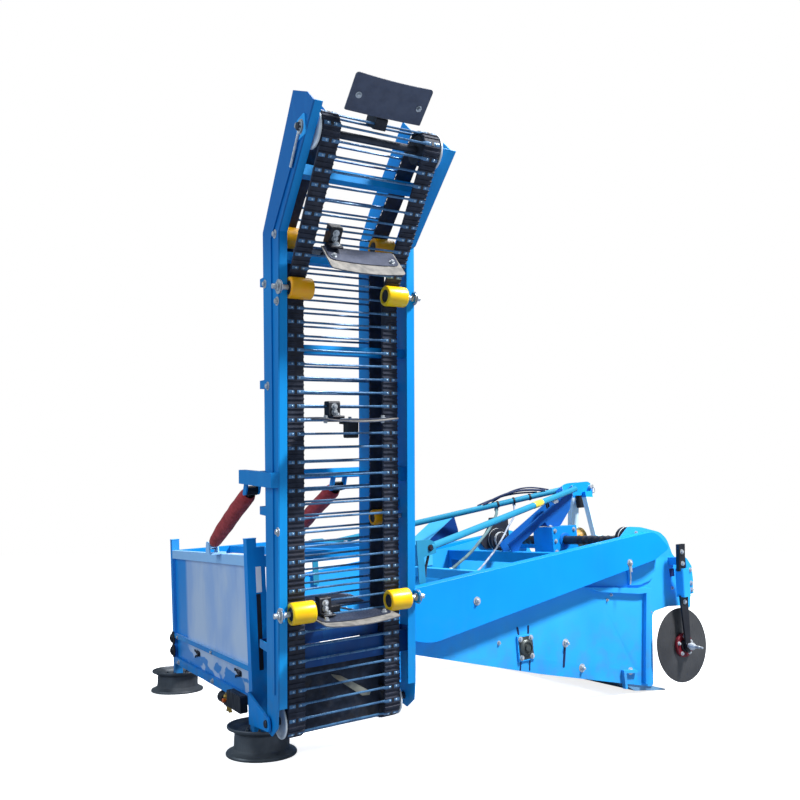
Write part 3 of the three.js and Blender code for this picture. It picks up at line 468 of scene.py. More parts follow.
STRUCTURE = [                 # nodes, paint, record slot
  (["rear_frame"], REAR_BLUE, "blue_paint"),
  (["frame_right", "frame_left", "rear_cross_beam", "cylinder_beam", "middle_beam", "front_beam",
    "gearbox"], FRAME_BLUE, "blue_paint"),
  (["elevator_side_rear", "elevator_side_front", "side_board_rear", "side_board_front",
    "cylinder_arm"], CHANNEL_BLUE, "blue_paint"),
  (["side_plate_right", "side_plate_left", "rear_beam"], LIGHT_BLUE, "blue_paint"),
  (["hopper_plate"], HOPPER_BLUE, "blue_paint"),
  (["hitch_mast"], MAST_BLUE, "blue_paint"),
  (["chain_guard_right", "chain_guard_left"], SKY_BLUE, "bright_blue_paint"),
  (["brace_right", "brace_left"], CYAN_BLUE, "bright_blue_paint"),
]
for names, paint, slot in STRUCTURE:
    for name in names:
        softened(name, paint)


# ---------------------------------------------------------------- rim stands
# Two pressed steel wheel rims without tyres, lying flat as stands under the rear posts. Rolled
# from sheet: bead lips turned out at both ends of a dropped waist, with a dished disc across it.
RIM = (171.5, 134, 136, 102, 6)         # outer and waist radius, height, height of its disc, wall
RUST = (112, 66, 38)
FORWARD, REARWARD, OUT_RIGHT, OUT_LEFT = (1, 0, 0), (-1, 0, 0), (0, -1, 0), (0, 1, 0)
UP, DOWN = (0, 0, 1), (0, 0, -1)


def lathe(profile, count=24):
    """A profile of (radius, height) turned round +Z: x = r cos a, y = r sin a, z = height."""
    radius, height = np.asarray(profile, float).T
    turn = np.linspace(0, 2 * np.pi, count, endpoint=False)[:, None]
    grid = np.stack([radius * np.cos(turn), radius * np.sin(turn), height + 0 * turn], -1)
    return surface(grid, ring_u=True)


def iron(name, colour, shade, rough=0.5, metal=0.75, rust=0.25, scale=9):
    """Bare or thinly painted iron: colour drifts to "shade", with specks of brown rust and fine
    scratches that change the gloss."""
    material, tree = node_graph(name)
    base = mixed(tree, patches(tree, scale, 4, 0.36, 0.66), colour, shade)
    base = mixed(tree, patches(tree, 46, 3, 0.60, 0.74, rust, roughness=0.7), base, RUST)
    scratch = noise(tree, 130, 2, (1, 1, 0.12))
    worn = spread(tree, scratch, 0.3, 0.75, rough - 0.1, rough + 0.2)
    return finished(material, base, worn, (scratch, 0.12, 0.0007), metal=metal)


CHARCOAL = iron("charcoal_rim", (96, 101, 107), (70, 75, 82), 0.42, 0.35, 0.12)


def mirrored(half, length):
    """A section whose first half is given and whose second half mirrors it about length / 2."""
    return half + [(radius, length - height) for radius, height in reversed(half)]


def rim_profile():
    """Closed section of a rim from its axis out and back: dished disc, waist, and two lips."""
    outer, waist, high, disc, wall = RIM
    inner = waist - wall
    lip_inside = [(inner, 26), (inner + 6, 18), (outer - 22, 12), (outer - 12, 9), (outer - 7, 4),
                  (outer - 5, 0)]
    lip_outside = [(outer - 2, 0), (outer, 3), (outer, 9), (outer - 3, 14), (outer - 10, 17),
                   (waist + 8, 26), (waist + 1, 33), (waist, 42)]
    dish = [(30, disc - 3), (38, disc), (92, disc), (104, disc + 6), (inner - 8, disc + 6),
            (inner, disc + 10)]
    under = [(inner, disc - 2), (inner - 8, disc - wall), (92, disc - wall), (38, disc - wall),
             (30, disc - wall - 1), (30, disc - 3)]
    return (dish + [(radius, high - z) for radius, z in lip_inside]
            + [(radius, high - z) for radius, z in lip_outside]
            + lip_outside[::-1] + lip_inside[::-1] + under)


def stud(length, across, shank):
    """A nut on a washer with its threaded end, standing on z = 0 and up +Z."""
    washer = lathe([(0, 0), (across * 0.95, 0), (across * 0.95, 2.2), (0, 2.2)], 16)
    nut = lathe([(0, 2.2), (across * 0.56, 2.2), (across * 0.58, 4), (across * 0.58, 11),
                 (across * 0.5, 13), (0, 13)], 6)
    thread = lathe([(0, 12), (shank, 12), (shank, length - 1.5), (shank - 1.5, length), (0, length)], 10)
    return joined([washer, nut, thread])


def copies(part, places):
    """Copies of a part at "places", each an origin and three axes, as one part."""
    points, faces = part
    places = np.asarray(places, float)
    moved = places[:, :1] + points @ places[:, 1:]
    shift = (np.arange(len(places)) * len(points))[:, None, None]
    return moved.reshape(-1, 3), [(group + shift).reshape(-1, group.shape[1]) for group in faces]


def standing(place, axis):
    """Origin and axes of a copy that stands on "place" along "axis", its y axis as near to
    upright as it goes."""
    z = np.asarray(axis, float) / np.linalg.norm(axis)
    x = np.cross(FORWARD if abs(z[2]) > 0.95 else UP, z)
    x /= np.linalg.norm(x)
    return [np.asarray(place, float), x, np.cross(z, x), z]


def turned(profile, place, axis, count=24):
    """A lathe part that stands on "place" along "axis"."""
    return copies(lathe(profile, count), [standing(place, axis)])


def studs(places, axis, length, across=19, shank=6):
    """Studs that stand on the places along "axis"."""
    return copies(stud(length, across, shank), [standing(place, axis) for place in places])


def from_floor(points):
    """Floor millimetres from the right rim's centre to the frame's metres."""
    return np.asarray(points, float) * MM + (*RIM_CENTRE, 0)


TRACK = 1770
RIM_PLACES = {"rim_stand_right": (0, 0), "rim_stand_left": (35, TRACK)}
for name, (x, y) in RIM_PLACES.items():
    holes = [(x + 70 * math.cos(a), y + 70 * math.sin(a), RIM[3])
             for a in np.arange(5) * 2 * math.pi / 5 + 0.4]
    build(name + "_pressing", [turned(rim_profile(), (x, y, 0), UP, 64), studs(holes, UP, 22)],
          CHARCOAL, "root", "dark_steel", [name], place=from_floor)


# ---------------------------------------------------------------- rear panel
# A thin sheet hung inside the rear rails, with two slots for its hooks. It is sprayed the same
# blue but so chalked that it looks lavender, with darker wiped swirls.
def boxed(x, y, z, edge=0.0):
    """A block from ranges in x, y and z; "edge" chamfers the corners of its (y, z) outline."""
    (x0, x1), (y0, y1), (z0, z1) = x, y, z
    outline = [(y0 + edge, z0), (y1 - edge, z0), (y1, z0 + edge), (y1, z1 - edge),
               (y1 - edge, z1), (y0 + edge, z1), (y0, z1 - edge), (y0, z0 + edge)]
    return prism([(x0, a, b) for a, b in outline], (x1 - x0, 0, 0))


def prism(outline, travel):
    """A flat outline carried along "travel", with a face at each end."""
    outline = np.asarray(outline, float)
    count = len(outline)
    grid = np.stack([outline, outline + travel])
    points, walls = surface(grid, ring_v=True)
    return points, walls + [np.arange(count)[None, ::-1], np.arange(count, 2 * count)[None]]


def slab(outline, y, thick):
    """A plate of an outline in (x, z), from "y" to y + thick."""
    return prism([(x, y, z) for x, z in outline], (0, thick, 0))


def weathered_sheet():
    """Chalked sheet: lavender over blue, wiped in soft swirls. It is still blue beyond Y 1.12 m, and its
    blue patches below Z 0.37 m are painted shadow and reflection at the sheet's foot."""
    material, tree = node_graph("chalked_sheet")
    wipes = patches(tree, 3.2, 3, 0.42, 0.62, stretch=(1, 1, 0.55), roughness=0.55)
    base = mixed(tree, wipes, (190, 210, 238), (158, 190, 236))
    runs = patches(tree, 9, 3, 0.55, 0.75, 0.2, stretch=(1, 1, 0.15))
    base = mixed(tree, runs, base, (60, 112, 190))
    base = mixed(tree, past(tree, "Y", 1.06, 1.12), base, (8, 142, 226))
    above = past(tree, "Z", 0.29, 0.37)
    edge = [spread(tree, above, 0, 1, start, start + 0.45) for start in (0.42, 0.46)]
    # Painted shadow and reflection: blue patches low on the sheet.
    foot_shadow_and_reflection = spread(tree, noise(tree, 5, 2, (1, 1, 2)), *edge)
    base = mixed(tree, foot_shadow_and_reflection, base, (40, 138, 218))
    worn = spread(tree, noise(tree, 6, 3), 0, 1, 0.3, 0.5)
    return finished(material, base, worn, (noise(tree, 5, 2), 0.25, 0.004), coat=0.1,
                    specular=0.4)


GALVANISED = iron("galvanised", (206, 210, 214), (172, 178, 184), 0.32, 0.45, 0.05, 40)
BLACK_IRON = iron("black_iron", (38, 40, 48), (26, 28, 36), 0.45, 0.3, 0.05)


def steel(name, parts, body="root", **how):
    """A galvanised piece."""
    return build(name, parts, GALVANISED, body, "bright_steel", **how)


def black(name, parts, body="root", **how):
    """A piece of black iron."""
    return build(name, parts, BLACK_IRON, body, "black_paint", **how)


softened("rear_panel", weathered_sheet(), 0.001)
PANEL_FACE = 40               # its rear face, x
HOOKS = [(1242, 313), (437, 313)]
build("rail_lip", [boxed((16.4, 20), (34, 1736), (352, 378))], FRAME_BLUE, "root", "blue_paint")
black("panel_hooks", [part for y, z in HOOKS for part in (
    tube([(34, y + 40, z + 2), (28, y + 20, z + 14), (28, y - 8, z + 4), (34, y - 30, z - 18),
          (30, y + 6, z - 20), (34, y + 34, z - 34)], 4.5),
    studs([(PANEL_FACE, y - 44, z - 6)], REARWARD, 12, 17, 5))])


# ---------------------------------------------------------------- elevator web
# Two ribbed rubber belts run round the lower shaft, the carrying rollers at the kink and the top
# shaft. Sprung steel rods cross them; each end is hammered flat and riveted on a belt.
FOOT = (-262, 200)
LEAN, HEAD_LEAN = math.radians(5.9), math.radians(48)
KINK_CARRY, KINK_PRESS, TOP = (-532, 2434), (-623, 2162), (-973, 2760)
WEB_CIRCLES = [(*FOOT, 72), (*KINK_CARRY, 57), (*TOP, 76), (*KINK_PRESS, -57)]
WEB_BELTS = [(13, 97), (515, 599)]
ROD_COUNT, FIRST_ROD = 92, 0.72
SOIL = (122, 110, 98)


def taut_loop(circles, shares):
    """Places on a taut loop round circles (u, v, r), r below 0 where it turns right. "shares"
    are parts of its whole length. Returns points (u, v) and the angle of the outer side."""
    u, v, r = np.asarray(circles, float).T
    next_u, next_v, next_r = (np.roll(value, -1) for value in (u, v, r))
    span = np.hypot(next_u - u, next_v - v)
    leave = np.arctan2(next_v - v, next_u - u) - np.arccos((r - next_r) / span)
    enter = np.roll(leave, 1)
    sweep = (leave - enter) % (2 * np.pi)
    sweep = np.where(r > 0, sweep, sweep - 2 * np.pi)
    arc = np.abs(r * sweep)
    start = np.stack([u + r * np.cos(leave), v + r * np.sin(leave)], -1)
    end = np.stack([next_u + next_r * np.cos(leave), next_v + next_r * np.sin(leave)], -1)
    straight = np.linalg.norm(end - start, axis=1)
    lengths = np.stack([arc, straight], -1).ravel()
    ends = np.cumsum(lengths)
    along = (np.asarray(shares, float) % 1) * ends[-1]
    index = np.searchsorted(ends, along, side="left").clip(0, len(lengths) - 1)
    share = 1 - (ends[index] - along) / lengths[index]
    k, on_arc = index // 2, index % 2 == 0
    angle = np.where(on_arc, enter[k] + share * sweep[k], leave[k])
    round_places = np.stack([u[k] + r[k] * np.cos(angle), v[k] + r[k] * np.sin(angle)], -1)
    line_places = start[k] + share[:, None] * (end[k] - start[k])
    return np.where(on_arc[:, None], round_places, line_places), angle


def ribbed_belt(circles, count, first, ranges, sideways, ribs):
    """Belts with cross ribs between the rods. The outer side is thick + rib where a rib stands:
    each rib is a trapezium of four samples along the loop."""
    thick, rib = 5.0, 4.6
    samples = np.array([0.30, 0.38, 0.66, 0.74])
    phase = (np.arange(ribs)[:, None] + samples) / ribs
    shares = ((np.arange(count)[:, None, None] + phase + first) / count).ravel()
    height = np.tile([0, rib, rib, 0], count * ribs)
    places, angle = taut_loop(circles, shares)
    out = np.stack([np.cos(angle), np.sin(angle)], -1)
    parts = []
    for low, high in ranges:
        half = (high - low) / 2
        path = np.column_stack([np.full(len(places), low + half), places])
        up = np.column_stack([np.zeros(len(out)), out])
        side = np.array((1.0, 0, 0))
        if sideways:
            path, up, side = path[:, [1, 0, 2]], up[:, [1, 0, 2]], np.array((0, 1.0, 0))
        rise = thick + height[:, None]
        across = np.array([-half, -half, -half + 3, half - 3, half, half])
        level = np.array([-1.0, 1.0, 1.0, 1.0, 1.0, -1.0])
        profile = np.stack([np.broadcast_to(across, (len(path), 6)),
                            np.where(level > 0, rise - np.array([0, 2, 0, 0, 2, 0]), -thick)], -1)
        parts.append(swept(path, side, up, profile, closed=True))
    return parts


def web_rods(circles, count, first, ranges, radius, sideways):
    """Rods across the belts. Along a rod: flat ends on the belts at "lift" above the loop, a
    crank, and a round middle on the loop; the section runs from (12, 2.4) to (radius, radius).
    Returns the rods, their rivets and the dark wear pads under the rivets."""
    lift = 7.5
    places, angle = taut_loop(circles, (np.arange(count) + first) / count)
    out = np.stack([np.cos(angle), np.sin(angle)], -1)
    travel = np.stack([-out[:, 1], out[:, 0]], -1)
    (a0, a1), (b0, b1) = ranges[0], ranges[-1]
    stations = np.array([
        (a0 + 5, lift, 12.0, 2.4), (a1 - 6, lift, 12.0, 2.4), (a1 + 8, 1.5, radius, radius),
        ((a1 + b0) / 2, 0, radius, radius),
        (b0 - 8, 1.5, radius, radius), (b0 + 6, lift, 12.0, 2.4), (b1 - 5, lift, 12.0, 2.4)])
    ring = circle(1.0, 8)
    local = np.stack([
        np.broadcast_to(stations[:, None, 0], (7, 8)),
        stations[:, None, 1] + ring[:, 1] * stations[:, None, 3],
        ring[:, 0] * stations[:, None, 2]], -1)
    template = surface(local, ring_v=True)
    template = (template[0], template[1] + [np.arange(8)[None, ::-1], np.arange(48, 56)[None]])
    dome = lathe([(0, 0), (5.2, 0), (4.6, 2.2), (2.6, 3.6), (0, 4.0)], 8)
    rivets = [standing((x, lift + 2.0, 0), OUT_LEFT) for x in (a0 + 24, a1 - 24, b0 + 24, b1 - 24)]
    zero = np.zeros(count)
    at = np.column_stack([zero, places])
    x_axis = np.column_stack([zero + 1, zero, zero])
    y_axis, z_axis = np.column_stack([zero, out]), np.column_stack([zero, travel])
    if sideways:
        at, x_axis, y_axis, z_axis = (value[:, [1, 0, 2]] for value in (at, x_axis, y_axis, z_axis))
    frames = np.stack([at, x_axis, y_axis, z_axis], 1)
    pads = joined([boxed((x0, x1), (lift + 1.8, lift + 3.0), (-8.5, 8.5))
                   for x0, x1 in ((a0 + 35, a1 - 35), (b0 + 35, b1 - 35))])
    return (copies(template, frames), copies(copies(dome, rivets), frames),
            copies(pads, frames))


def ribbed_rubber(name, colour, worn_colour, dust):
    """Black rubber: fine crazing, edges and ribs dusted by dried soil."""
    material, tree = node_graph(name)
    base = mixed(tree, patches(tree, 24, 4, 0.4, 0.65), colour, worn_colour)
    base = mixed(tree, patches(tree, 8, 5, 0.50, 0.72, dust, roughness=0.65), base, SOIL)
    worn = spread(tree, noise(tree, 60, 2), 0, 1, 0.5, 0.8)
    return finished(material, base, worn, (noise(tree, 420, 2), 0.2, 0.0006), specular=0.3)


BELT_RUBBER = ribbed_rubber("belt_rubber", (36, 41, 56), (52, 58, 74), 0.12)
ROD_STEEL = iron("rod_steel", (84, 132, 176), (56, 96, 136), 0.30, 0.2, 0.04, 14)
# The rivets' pale colour is bare steel, with a painted reflection of blue sky mixed into it.
RIVET_STEEL = iron("rivet_steel", (196, 222, 240), (150, 180, 206), 0.3, 0.5, 0.05)


def web(stem, node, circles, count, first, belts, radius, metal, body, sideways=False, ribs=3):
    """The pieces of a rod web on a body: belts, rods, rivets and pads under them. It stands for
    one CAD node."""
    build(stem + "_belts", ribbed_belt(circles, count, first, belts, sideways, ribs),
          BELT_RUBBER, body, "web_rubber", [node])
    rods, rivets, pads = web_rods(circles, count, first, belts, radius, sideways)
    build(stem + "_rods", [rods], metal, body, "web_steel", angle=40)
    build(stem + "_rivets", [rivets], RIVET_STEEL, body, "web_steel", angle=50)
    build(stem + "_pads", [pads], BLACK_IRON, body, "web_rubber")


web("elevator", "elevator_web", WEB_CIRCLES, ROD_COUNT, FIRST_ROD, WEB_BELTS, 5.3, ROD_STEEL,
    "elevator")

# ---------------------------------------------------------------- paddles
# Seven paddles push the crop up the web: a thick rubber sheet clamped between a steel plate and
# the block that grips two rods. Two bolts hold sheet and plate together.
PADDLE = (118, 496, 34, 202)  # its ends in x, its root and its tip out from the web
PADDLES = [                   # rod that carries it, its clamp's x, tilt in degrees
  (10, 306, 4), (24, 409, 4), (37, 306, 4), (48, 306, 14), (57, 180, 14), (70, 242, 3),
  (84, 190, 4),
]
PLATE_BACK, BACK, SEAM, FRONT = -6.0, -2, 0.5, 4.0          # faces from the plate to the sheet, z
BOW = 15.0                    # how far the upper corners curl back


def cornered(x0, x1, y0, y1, low, high):
    """An outline in (x, y) whose two lower corners are rounded by "low" and upper ones by
    "high", with four points to a corner."""
    turn = np.linspace(0, np.pi / 2, 5)
    corners = [(x1, y0, low, -1, 1), (x1, y1, high, -1, -1), (x0, y1, high, 1, -1), (x0, y0, low, 1, 1)]
    outline = []
    for index, (x, y, radius, to_x, to_y) in enumerate(corners):
        a, b = radius * (1 - np.sin(turn)), radius * (1 - np.cos(turn))
        if index % 2:
            a, b = b, a
        outline += [(x + to_x * u, y + to_y * v) for u, v in zip(a, b)]
    return outline


def leaf(x0, x1, y0, y1, low, high, z0, z1):
    """A sheet of a "cornered" outline between z0 and z1, in columns. Its two ends curl back by BOW
    at the tip and by a third of that at the root."""
    turn = high * (1 - np.cos(np.linspace(0, np.pi / 2, 5)))
    x = np.concatenate([x0 + turn, np.linspace(x0 + high, x1 - high, 11)[1:-1], x1 - turn[::-1]])
    inset = np.minimum(x - x0, x1 - x)
    edges = []
    for radius in (low, high):
        short = np.clip(radius - inset, 0, radius)
        edges.append(radius - np.sqrt(radius ** 2 - short ** 2))
    bottom, top = y0 + edges[0], y1 - edges[1]
    ring = np.stack([np.stack([x, y, z + 0 * x], -1)
                     for y, z in ((bottom, z0), (top, z0), (top, z1), (bottom, z1))], 1)
    points, walls = surface(ring, ring_v=True)
    last = len(points) - 4
    return bowed((points, walls + [np.array([[0, 1, 2, 3]]), last + np.array([[3, 2, 1, 0]])]))


def bowed(part):
    """A part of a paddle moved back along z as its sheet curls there."""
    points, faces = part
    x0, x1, root, tip = PADDLE
    side = (2 * points[:, 0] - x0 - x1) / (x1 - x0)
    out = np.clip((points[:, 1] - root) / (tip - root), 0, 1)
    points = points.copy()
    points[:, 2] -= BOW * side ** 2 * (1 + 2 * out) / 3
    return points, faces


def paddle_parts():
    """One paddle in its own frame: x across, y out from the web, z along its travel. The sheet
    leads and the plate backs it. Returns the parts of each material."""
    x0, x1, root, tip = PADDLE
    lining = leaf(x0, x1, root, tip, 4, 16, BACK, SEAM)
    sheet = leaf(x0, x1, root, tip, 4, 16, SEAM, FRONT)
    plate = leaf(x0 + 10, x1 - 10, root, root + 104, 4, 22, PLATE_BACK, BACK)
    nuts, heads = ([(x, root + 76, face) for x in (x0 + 40, x1 - 40)] for face in (PLATE_BACK, FRONT))
    return sheet, lining, plate, bowed(joined([studs(nuts, DOWN, 13, 15, 5),
                                               studs(heads, UP, 12, 15, 5)]))


def clamp_parts():
    """The block round two rods, one rod pitch apart, with its foot bolted to the plate."""
    block, neck = (prism([(-29, y, z) for z, y in profile], (58, 0, 0)) for profile in
                   (cornered(-88, 10, -24, 30, 8, 10), cornered(-19, -6, 4, 80, 3, 8)))
    return joined([block, neck]), joined([studs([(0, 28, -62), (0, 28, -36)], OUT_LEFT, 14, 17, 5),
                                          studs([(0, 58, -19)], DOWN, 13, 19, 6)])


def across_web(x, y, z, lean):
    """Origin and axes of a paddle's part on the web: y leans outwards by "lean" from +Y."""
    return [(x, y, z), FORWARD, (0, math.cos(lean), math.sin(lean)),
            (0, -math.sin(lean), math.cos(lean))]


places, angle = taut_loop(WEB_CIRCLES, (np.arange(ROD_COUNT) + FIRST_ROD) / ROD_COUNT)
paddle_frames, clamp_frames = [], []
for rod, clamp_x, degrees in PADDLES:
    clamp_frames.append(across_web(clamp_x, *places[rod], angle[rod]))
    paddle_frames.append(across_web(0, *places[rod], angle[rod] + math.radians(degrees)))
sheet, lining, plate, fixings = paddle_parts()
block, block_bolts = clamp_parts()
# Painted light: the sheet's slate leading face is a shaded copy of the rubber. The paler grey lining on
# its trailing face is a lit copy, with dust on it.
SHADED_SHEET_RUBBER = ribbed_rubber("paddle_shaded_rubber", (88, 95, 114), (80, 86, 104), 0.10)
PLATE_STEEL = iron("paddle_plate", (74, 80, 98), (56, 62, 80), 0.42, 0.4, 0.05, 12)
build("paddle_sheets", [copies(sheet, paddle_frames)], SHADED_SHEET_RUBBER, "elevator", "web_rubber")
build("paddle_linings", [copies(lining, paddle_frames)],
      ribbed_rubber("dusty_lit_rubber", (150, 146, 140), (112, 110, 108), 0.3), "elevator",
      "web_rubber")
build("paddle_plates", [copies(plate, paddle_frames)], PLATE_STEEL, "elevator", "web_steel")
black("paddle_clamps", [copies(block, clamp_frames)], "elevator")
steel("paddle_bolts", [copies(fixings, paddle_frames), copies(block_bolts, clamp_frames)],
      "elevator")


# ---------------------------------------------------------------- rollers
# Moulded yellow rollers guide the belts: pressing ones outside the run, carrying ones inside.
# Each turns on a galvanised stub bolt; the near ends are recessed round a dark bearing.
def moulded(name, colour, shade, rough=0.3, coat=0.25, dirt=0.25):
    """Moulded plastic: even colour that drifts a little, soil smears and rub marks."""
    material, tree = node_graph(name)
    base = mixed(tree, patches(tree, 12, 2, 0.35, 0.65), colour, shade)
    smears = patches(tree, 26, 4, 0.54, 0.74, dirt, stretch=(1, 1, 0.4))
    base = mixed(tree, smears, base, (120, 96, 60))
    worn = spread(tree, noise(tree, 90, 2), 0, 1, rough - 0.08, rough + 0.14)
    return finished(material, base, worn, (noise(tree, 180, 2), 0.12, 0.0006), coat=coat,
                    specular=0.4)


INNER_EDGE = 40.5             # of the channels, from the lower shaft


def low(up, out):
    """(y, z) of a place on the elevator's lower section: "up" along it from the lower shaft,
    "out" from the channels' inner edge."""
    lean_sine, lean_cosine, n = math.sin(LEAN), math.cos(LEAN), out - INNER_EDGE
    return FOOT[0] - up * lean_sine - n * lean_cosine, FOOT[1] + up * lean_cosine - n * lean_sine


# Painted shade: the amber copy of the yellow is used on rollers that sit in shade.
ROLLER_YELLOW = moulded("roller_yellow", (255, 214, 0), (255, 196, 0), coat=0.1, dirt=0.08)
ROLLER_SHADED_AMBER = moulded("roller_shaded_amber", (255, 184, 4), (255, 168, 2), coat=0.1, dirt=0.1)
ROLLER_SPANS = {"rear": (-2, 113), "front": (500, 615)}
CHANNEL_WALLS = {"rear": -47.5, "front": 670.7}             # outer faces, x
OUTSIDE, INSIDE = {"rear": -78, "front": 702.7}, {"rear": -42.2, "front": 665.4}
ROLLERS = [                   # stem, centre (y, z), radius, ends of its stub bolts, sides painted amber as shade
  ("press_roller_low", (-461, 697), 50, OUTSIDE, ()),
  ("press_roller_kink", KINK_PRESS, 50, OUTSIDE, ("rear",)),
  ("carry_roller_kink", KINK_CARRY, 50, INSIDE, ("rear", "front")),
  ("carry_roller_middle", low(900, 36), 38, INSIDE, ("rear", "front")),
]


def roller_profile(radius, length):
    """Closed section of a roller, from its axis out and back: recessed ends, rounded rims."""
    return mirrored([(13, 7), (radius * 0.62, 7), (radius * 0.70, 1.5), (radius - 7, 0),
                     (radius - 3, 1.6), (radius - 0.8, 4.6), (radius, 9)], length)


for stem, (y, z), radius, tips, shaded_sides in ROLLERS:
    for side, (x0, x1) in ROLLER_SPANS.items():
        node = f"{stem}_{side}"
        near, way = (x0, -1) if side == "rear" else (x1, 1)
        length = abs(tips[side] - near)
        build(node + "_tyre", [turned(roller_profile(radius, x1 - x0), (x0, y, z), FORWARD, 36)],
              ROLLER_SHADED_AMBER if side in shaded_sides else ROLLER_YELLOW, "elevator", "yellow_roller",
              [node], angle=40)
        bearing = [(0, 0), (radius * 0.6, 0), (radius * 0.6, 3), (24, 3), (22, 5.2), (12, 5.2),
                   (12, 4), (0, 4)]
        black(node + "_bearings", [turned(bearing, (x0 + 7, y, z), REARWARD, 28),
                                   turned(bearing, (x1 - 7, y, z), FORWARD, 28)], "elevator")
        bolt = [turned([(0, 0), (12, 0), (12, length - 1), (11, length), (0, length)],
                       (near, y, z), (way, 0, 0), 18)]
        if "press" in stem:
            wall = CHANNEL_WALLS[side]
            bolt += [studs([(wall, y, z)], (way, 0, 0), 14, 36, 11),
                     studs([(wall - way * 5, y, z)], (-way, 0, 0), 12, 34, 11)]
        steel(node + "_bolt", bolt, "elevator")

# ---------------------------------------------------------------- elevator shafts
# Dark steel shafts turn in the channels at the foot and the head. Rubber drums drive the belts,
# a pale plastic disc guides each belt's edge, and a nut holds the shaft's rear end.
SHAFT_STEEL = iron("shaft_steel", (66, 70, 80), (46, 50, 60), 0.38, 0.5, 0.1)
DISC_PLASTIC = moulded("pale_plastic", (222, 226, 230), (204, 210, 214), 0.35, 0.1, 0.2)
DRUM_RUBBER = ribbed_rubber("drum_rubber", (34, 38, 48), (50, 54, 64), 0.2)
SHAFTS = [("elevator_lower_shaft", FOOT, 72, (-72, 708.7)),
          ("elevator_top_shaft", TOP, 76, (-71.5, 694.7))]
for node, (y, z), loop_radius, (x0, x1) in SHAFTS:
    drum, length = loop_radius - 7, x1 - x0
    bar = mirrored([(0, 0), (15.5, 0), (17.5, 2)], length)
    build(node + "_bar", [turned(bar, (x0, y, z), FORWARD)], SHAFT_STEEL, "elevator",
          "bright_steel", [node])
    steel(node + "_nut", [studs([(x0 + 14, y, z)], REARWARD, 10, 30, 8)], "elevator")
    ribs = mirrored([(17, 2), (drum - 5, 0), (drum, 5), (drum, 34), (drum - 6, 37)], 84)
    build(node + "_drums", [turned(ribs, (start, y, z), FORWARD, 32) for start, _ in WEB_BELTS],
          DRUM_RUBBER, "elevator", "web_rubber")
    rim = loop_radius + 8
    disc = mirrored([(18, 3), (rim - 16, 3), (rim - 12, 0), (rim - 2, 0), (rim, 2)], 10)
    build(node + "_discs", [turned(disc, (start, y, z), FORWARD, 48)
                            for start in (WEB_BELTS[0][0] - 14, WEB_BELTS[1][1] + 4)],
          DISC_PLASTIC, "elevator", "bright_steel")


# ---------------------------------------------------------------- tilt cylinders
# Two hydraulic cylinders unfold the elevator. Each barrel wears a maroon cloth sleeve that is
# pulled over it, gathered in long wrinkles and tied at both ends; a bright rod leaves its foot.
EYE, BASE = (-55, 1270), (650, 990)
CYLINDER_X = {"rear": -17.5, "front": 456}
CYLINDER_AIM = np.subtract(BASE, EYE)
CLOSED = float(np.hypot(*CYLINDER_AIM))
NECK, BARREL_END, BARREL_RADIUS = 62, 600, 40


def aimed(part, x):
    """A part turned about +Z, laid along a cylinder from its eye."""
    y, z = CYLINDER_AIM / CLOSED
    return copies(part, [[(x, *EYE), (1, 0, 0), (0, z, -y), (0, y, z)]])


def cloth(name, colour, shade):
    """Woven cloth: warp and weft are two crossed fine noises; the creases are darker."""
    material, tree = node_graph(name)
    base = mixed(tree, patches(tree, 26, 5, 0.36, 0.66, roughness=0.65), colour, shade)
    weave = product(tree, noise(tree, 900, 1, (1, 0.15, 1)), noise(tree, 900, 1, (0.15, 1, 1)))
    return finished(material, base, 0.85, (weave, 0.6, 0.001), sheen=0.12, specular=0.15)


def sleeve(stations, sag):
    """Cloth tube through stations (distance, radius), joined by straight lines, plus wrinkles
    that run askew along it (a sum of sines of the angle and the share of its length); it sags by
    half a sine."""
    along = np.linspace(0, 1, 72)[:, None]
    angle = np.linspace(0, 2 * np.pi, 48, endpoint=False)[None]
    distance, radius = np.asarray(stations, float).T
    z = distance[0] + (distance[-1] - distance[0]) * along
    wrinkles = (np.sin(2 * angle + 9 * along) * 1.3 + np.sin(5 * angle - 14 * along) * 0.8
                + np.sin(angle + 31 * along) * 0.7 + np.sin(9 * angle + 17 * along) * 0.3)
    r = np.interp(z, distance, radius) + wrinkles * (0.3 + 0.7 * np.sin(np.pi * along))
    drop = sag * np.sin(np.pi * along)
    return surface(np.stack([r * np.cos(angle), r * np.sin(angle) + drop, z + 0 * angle], -1),
                   ring_v=True)


SLEEVE_CLOTH = cloth("maroon_cloth", (176, 62, 66), (144, 42, 46))
ROD_CHROME = iron("chromed_rod", (206, 210, 216), (188, 194, 202), 0.14, 0.9, 0.01)
CYLINDER_BLACK = iron("cylinder_black", (34, 36, 42), (24, 26, 32), 0.4, 0.4, 0.03)
for side, x in CYLINDER_X.items():
    core, rod = f"cylinder_barrel_{side}", f"cylinder_rod_{side}"
    wide = BARREL_RADIUS
    barrel = lathe([(20, 30), (24, 30), (24, NECK), (31.5, NECK + 2), (31.5, BARREL_END - 2),
                    (24, BARREL_END), (19.2, BARREL_END), (19.2, NECK)])
    eye = turned(mirrored([(0, 0), (24, 0)], 57), (x - 28.5, *EYE), FORWARD)
    build(core + "_tube", [aimed(barrel, x), eye], CYLINDER_BLACK, f"barrel_{side}", "black_paint",
          [core])
    wrap = build(core + "_sleeve",
                 [aimed(sleeve([(27, 31), (70, wide + 1), (230, wide + 3), (430, wide + 1),
                                (600, wide - 2), (672, 36), (698, 33)], -5), x)],
                 SLEEVE_CLOTH, f"barrel_{side}", "sleeve_fabric", angle=70)
    skin = wrap.modifiers.new("cloth_thickness", "SOLIDIFY")
    skin.thickness = 0.0012
    skin.offset = -1
    bar = lathe(mirrored([(0, 60), (18, 60)], CLOSED + 40))
    rod_eye = turned(mirrored([(0, 0), (22, 0)], 39), (x - 19.5, *BASE), FORWARD)
    build(rod + "_chrome", [aimed(bar, x), rod_eye], ROD_CHROME, f"rod_{side}", "bright_steel", [rod])


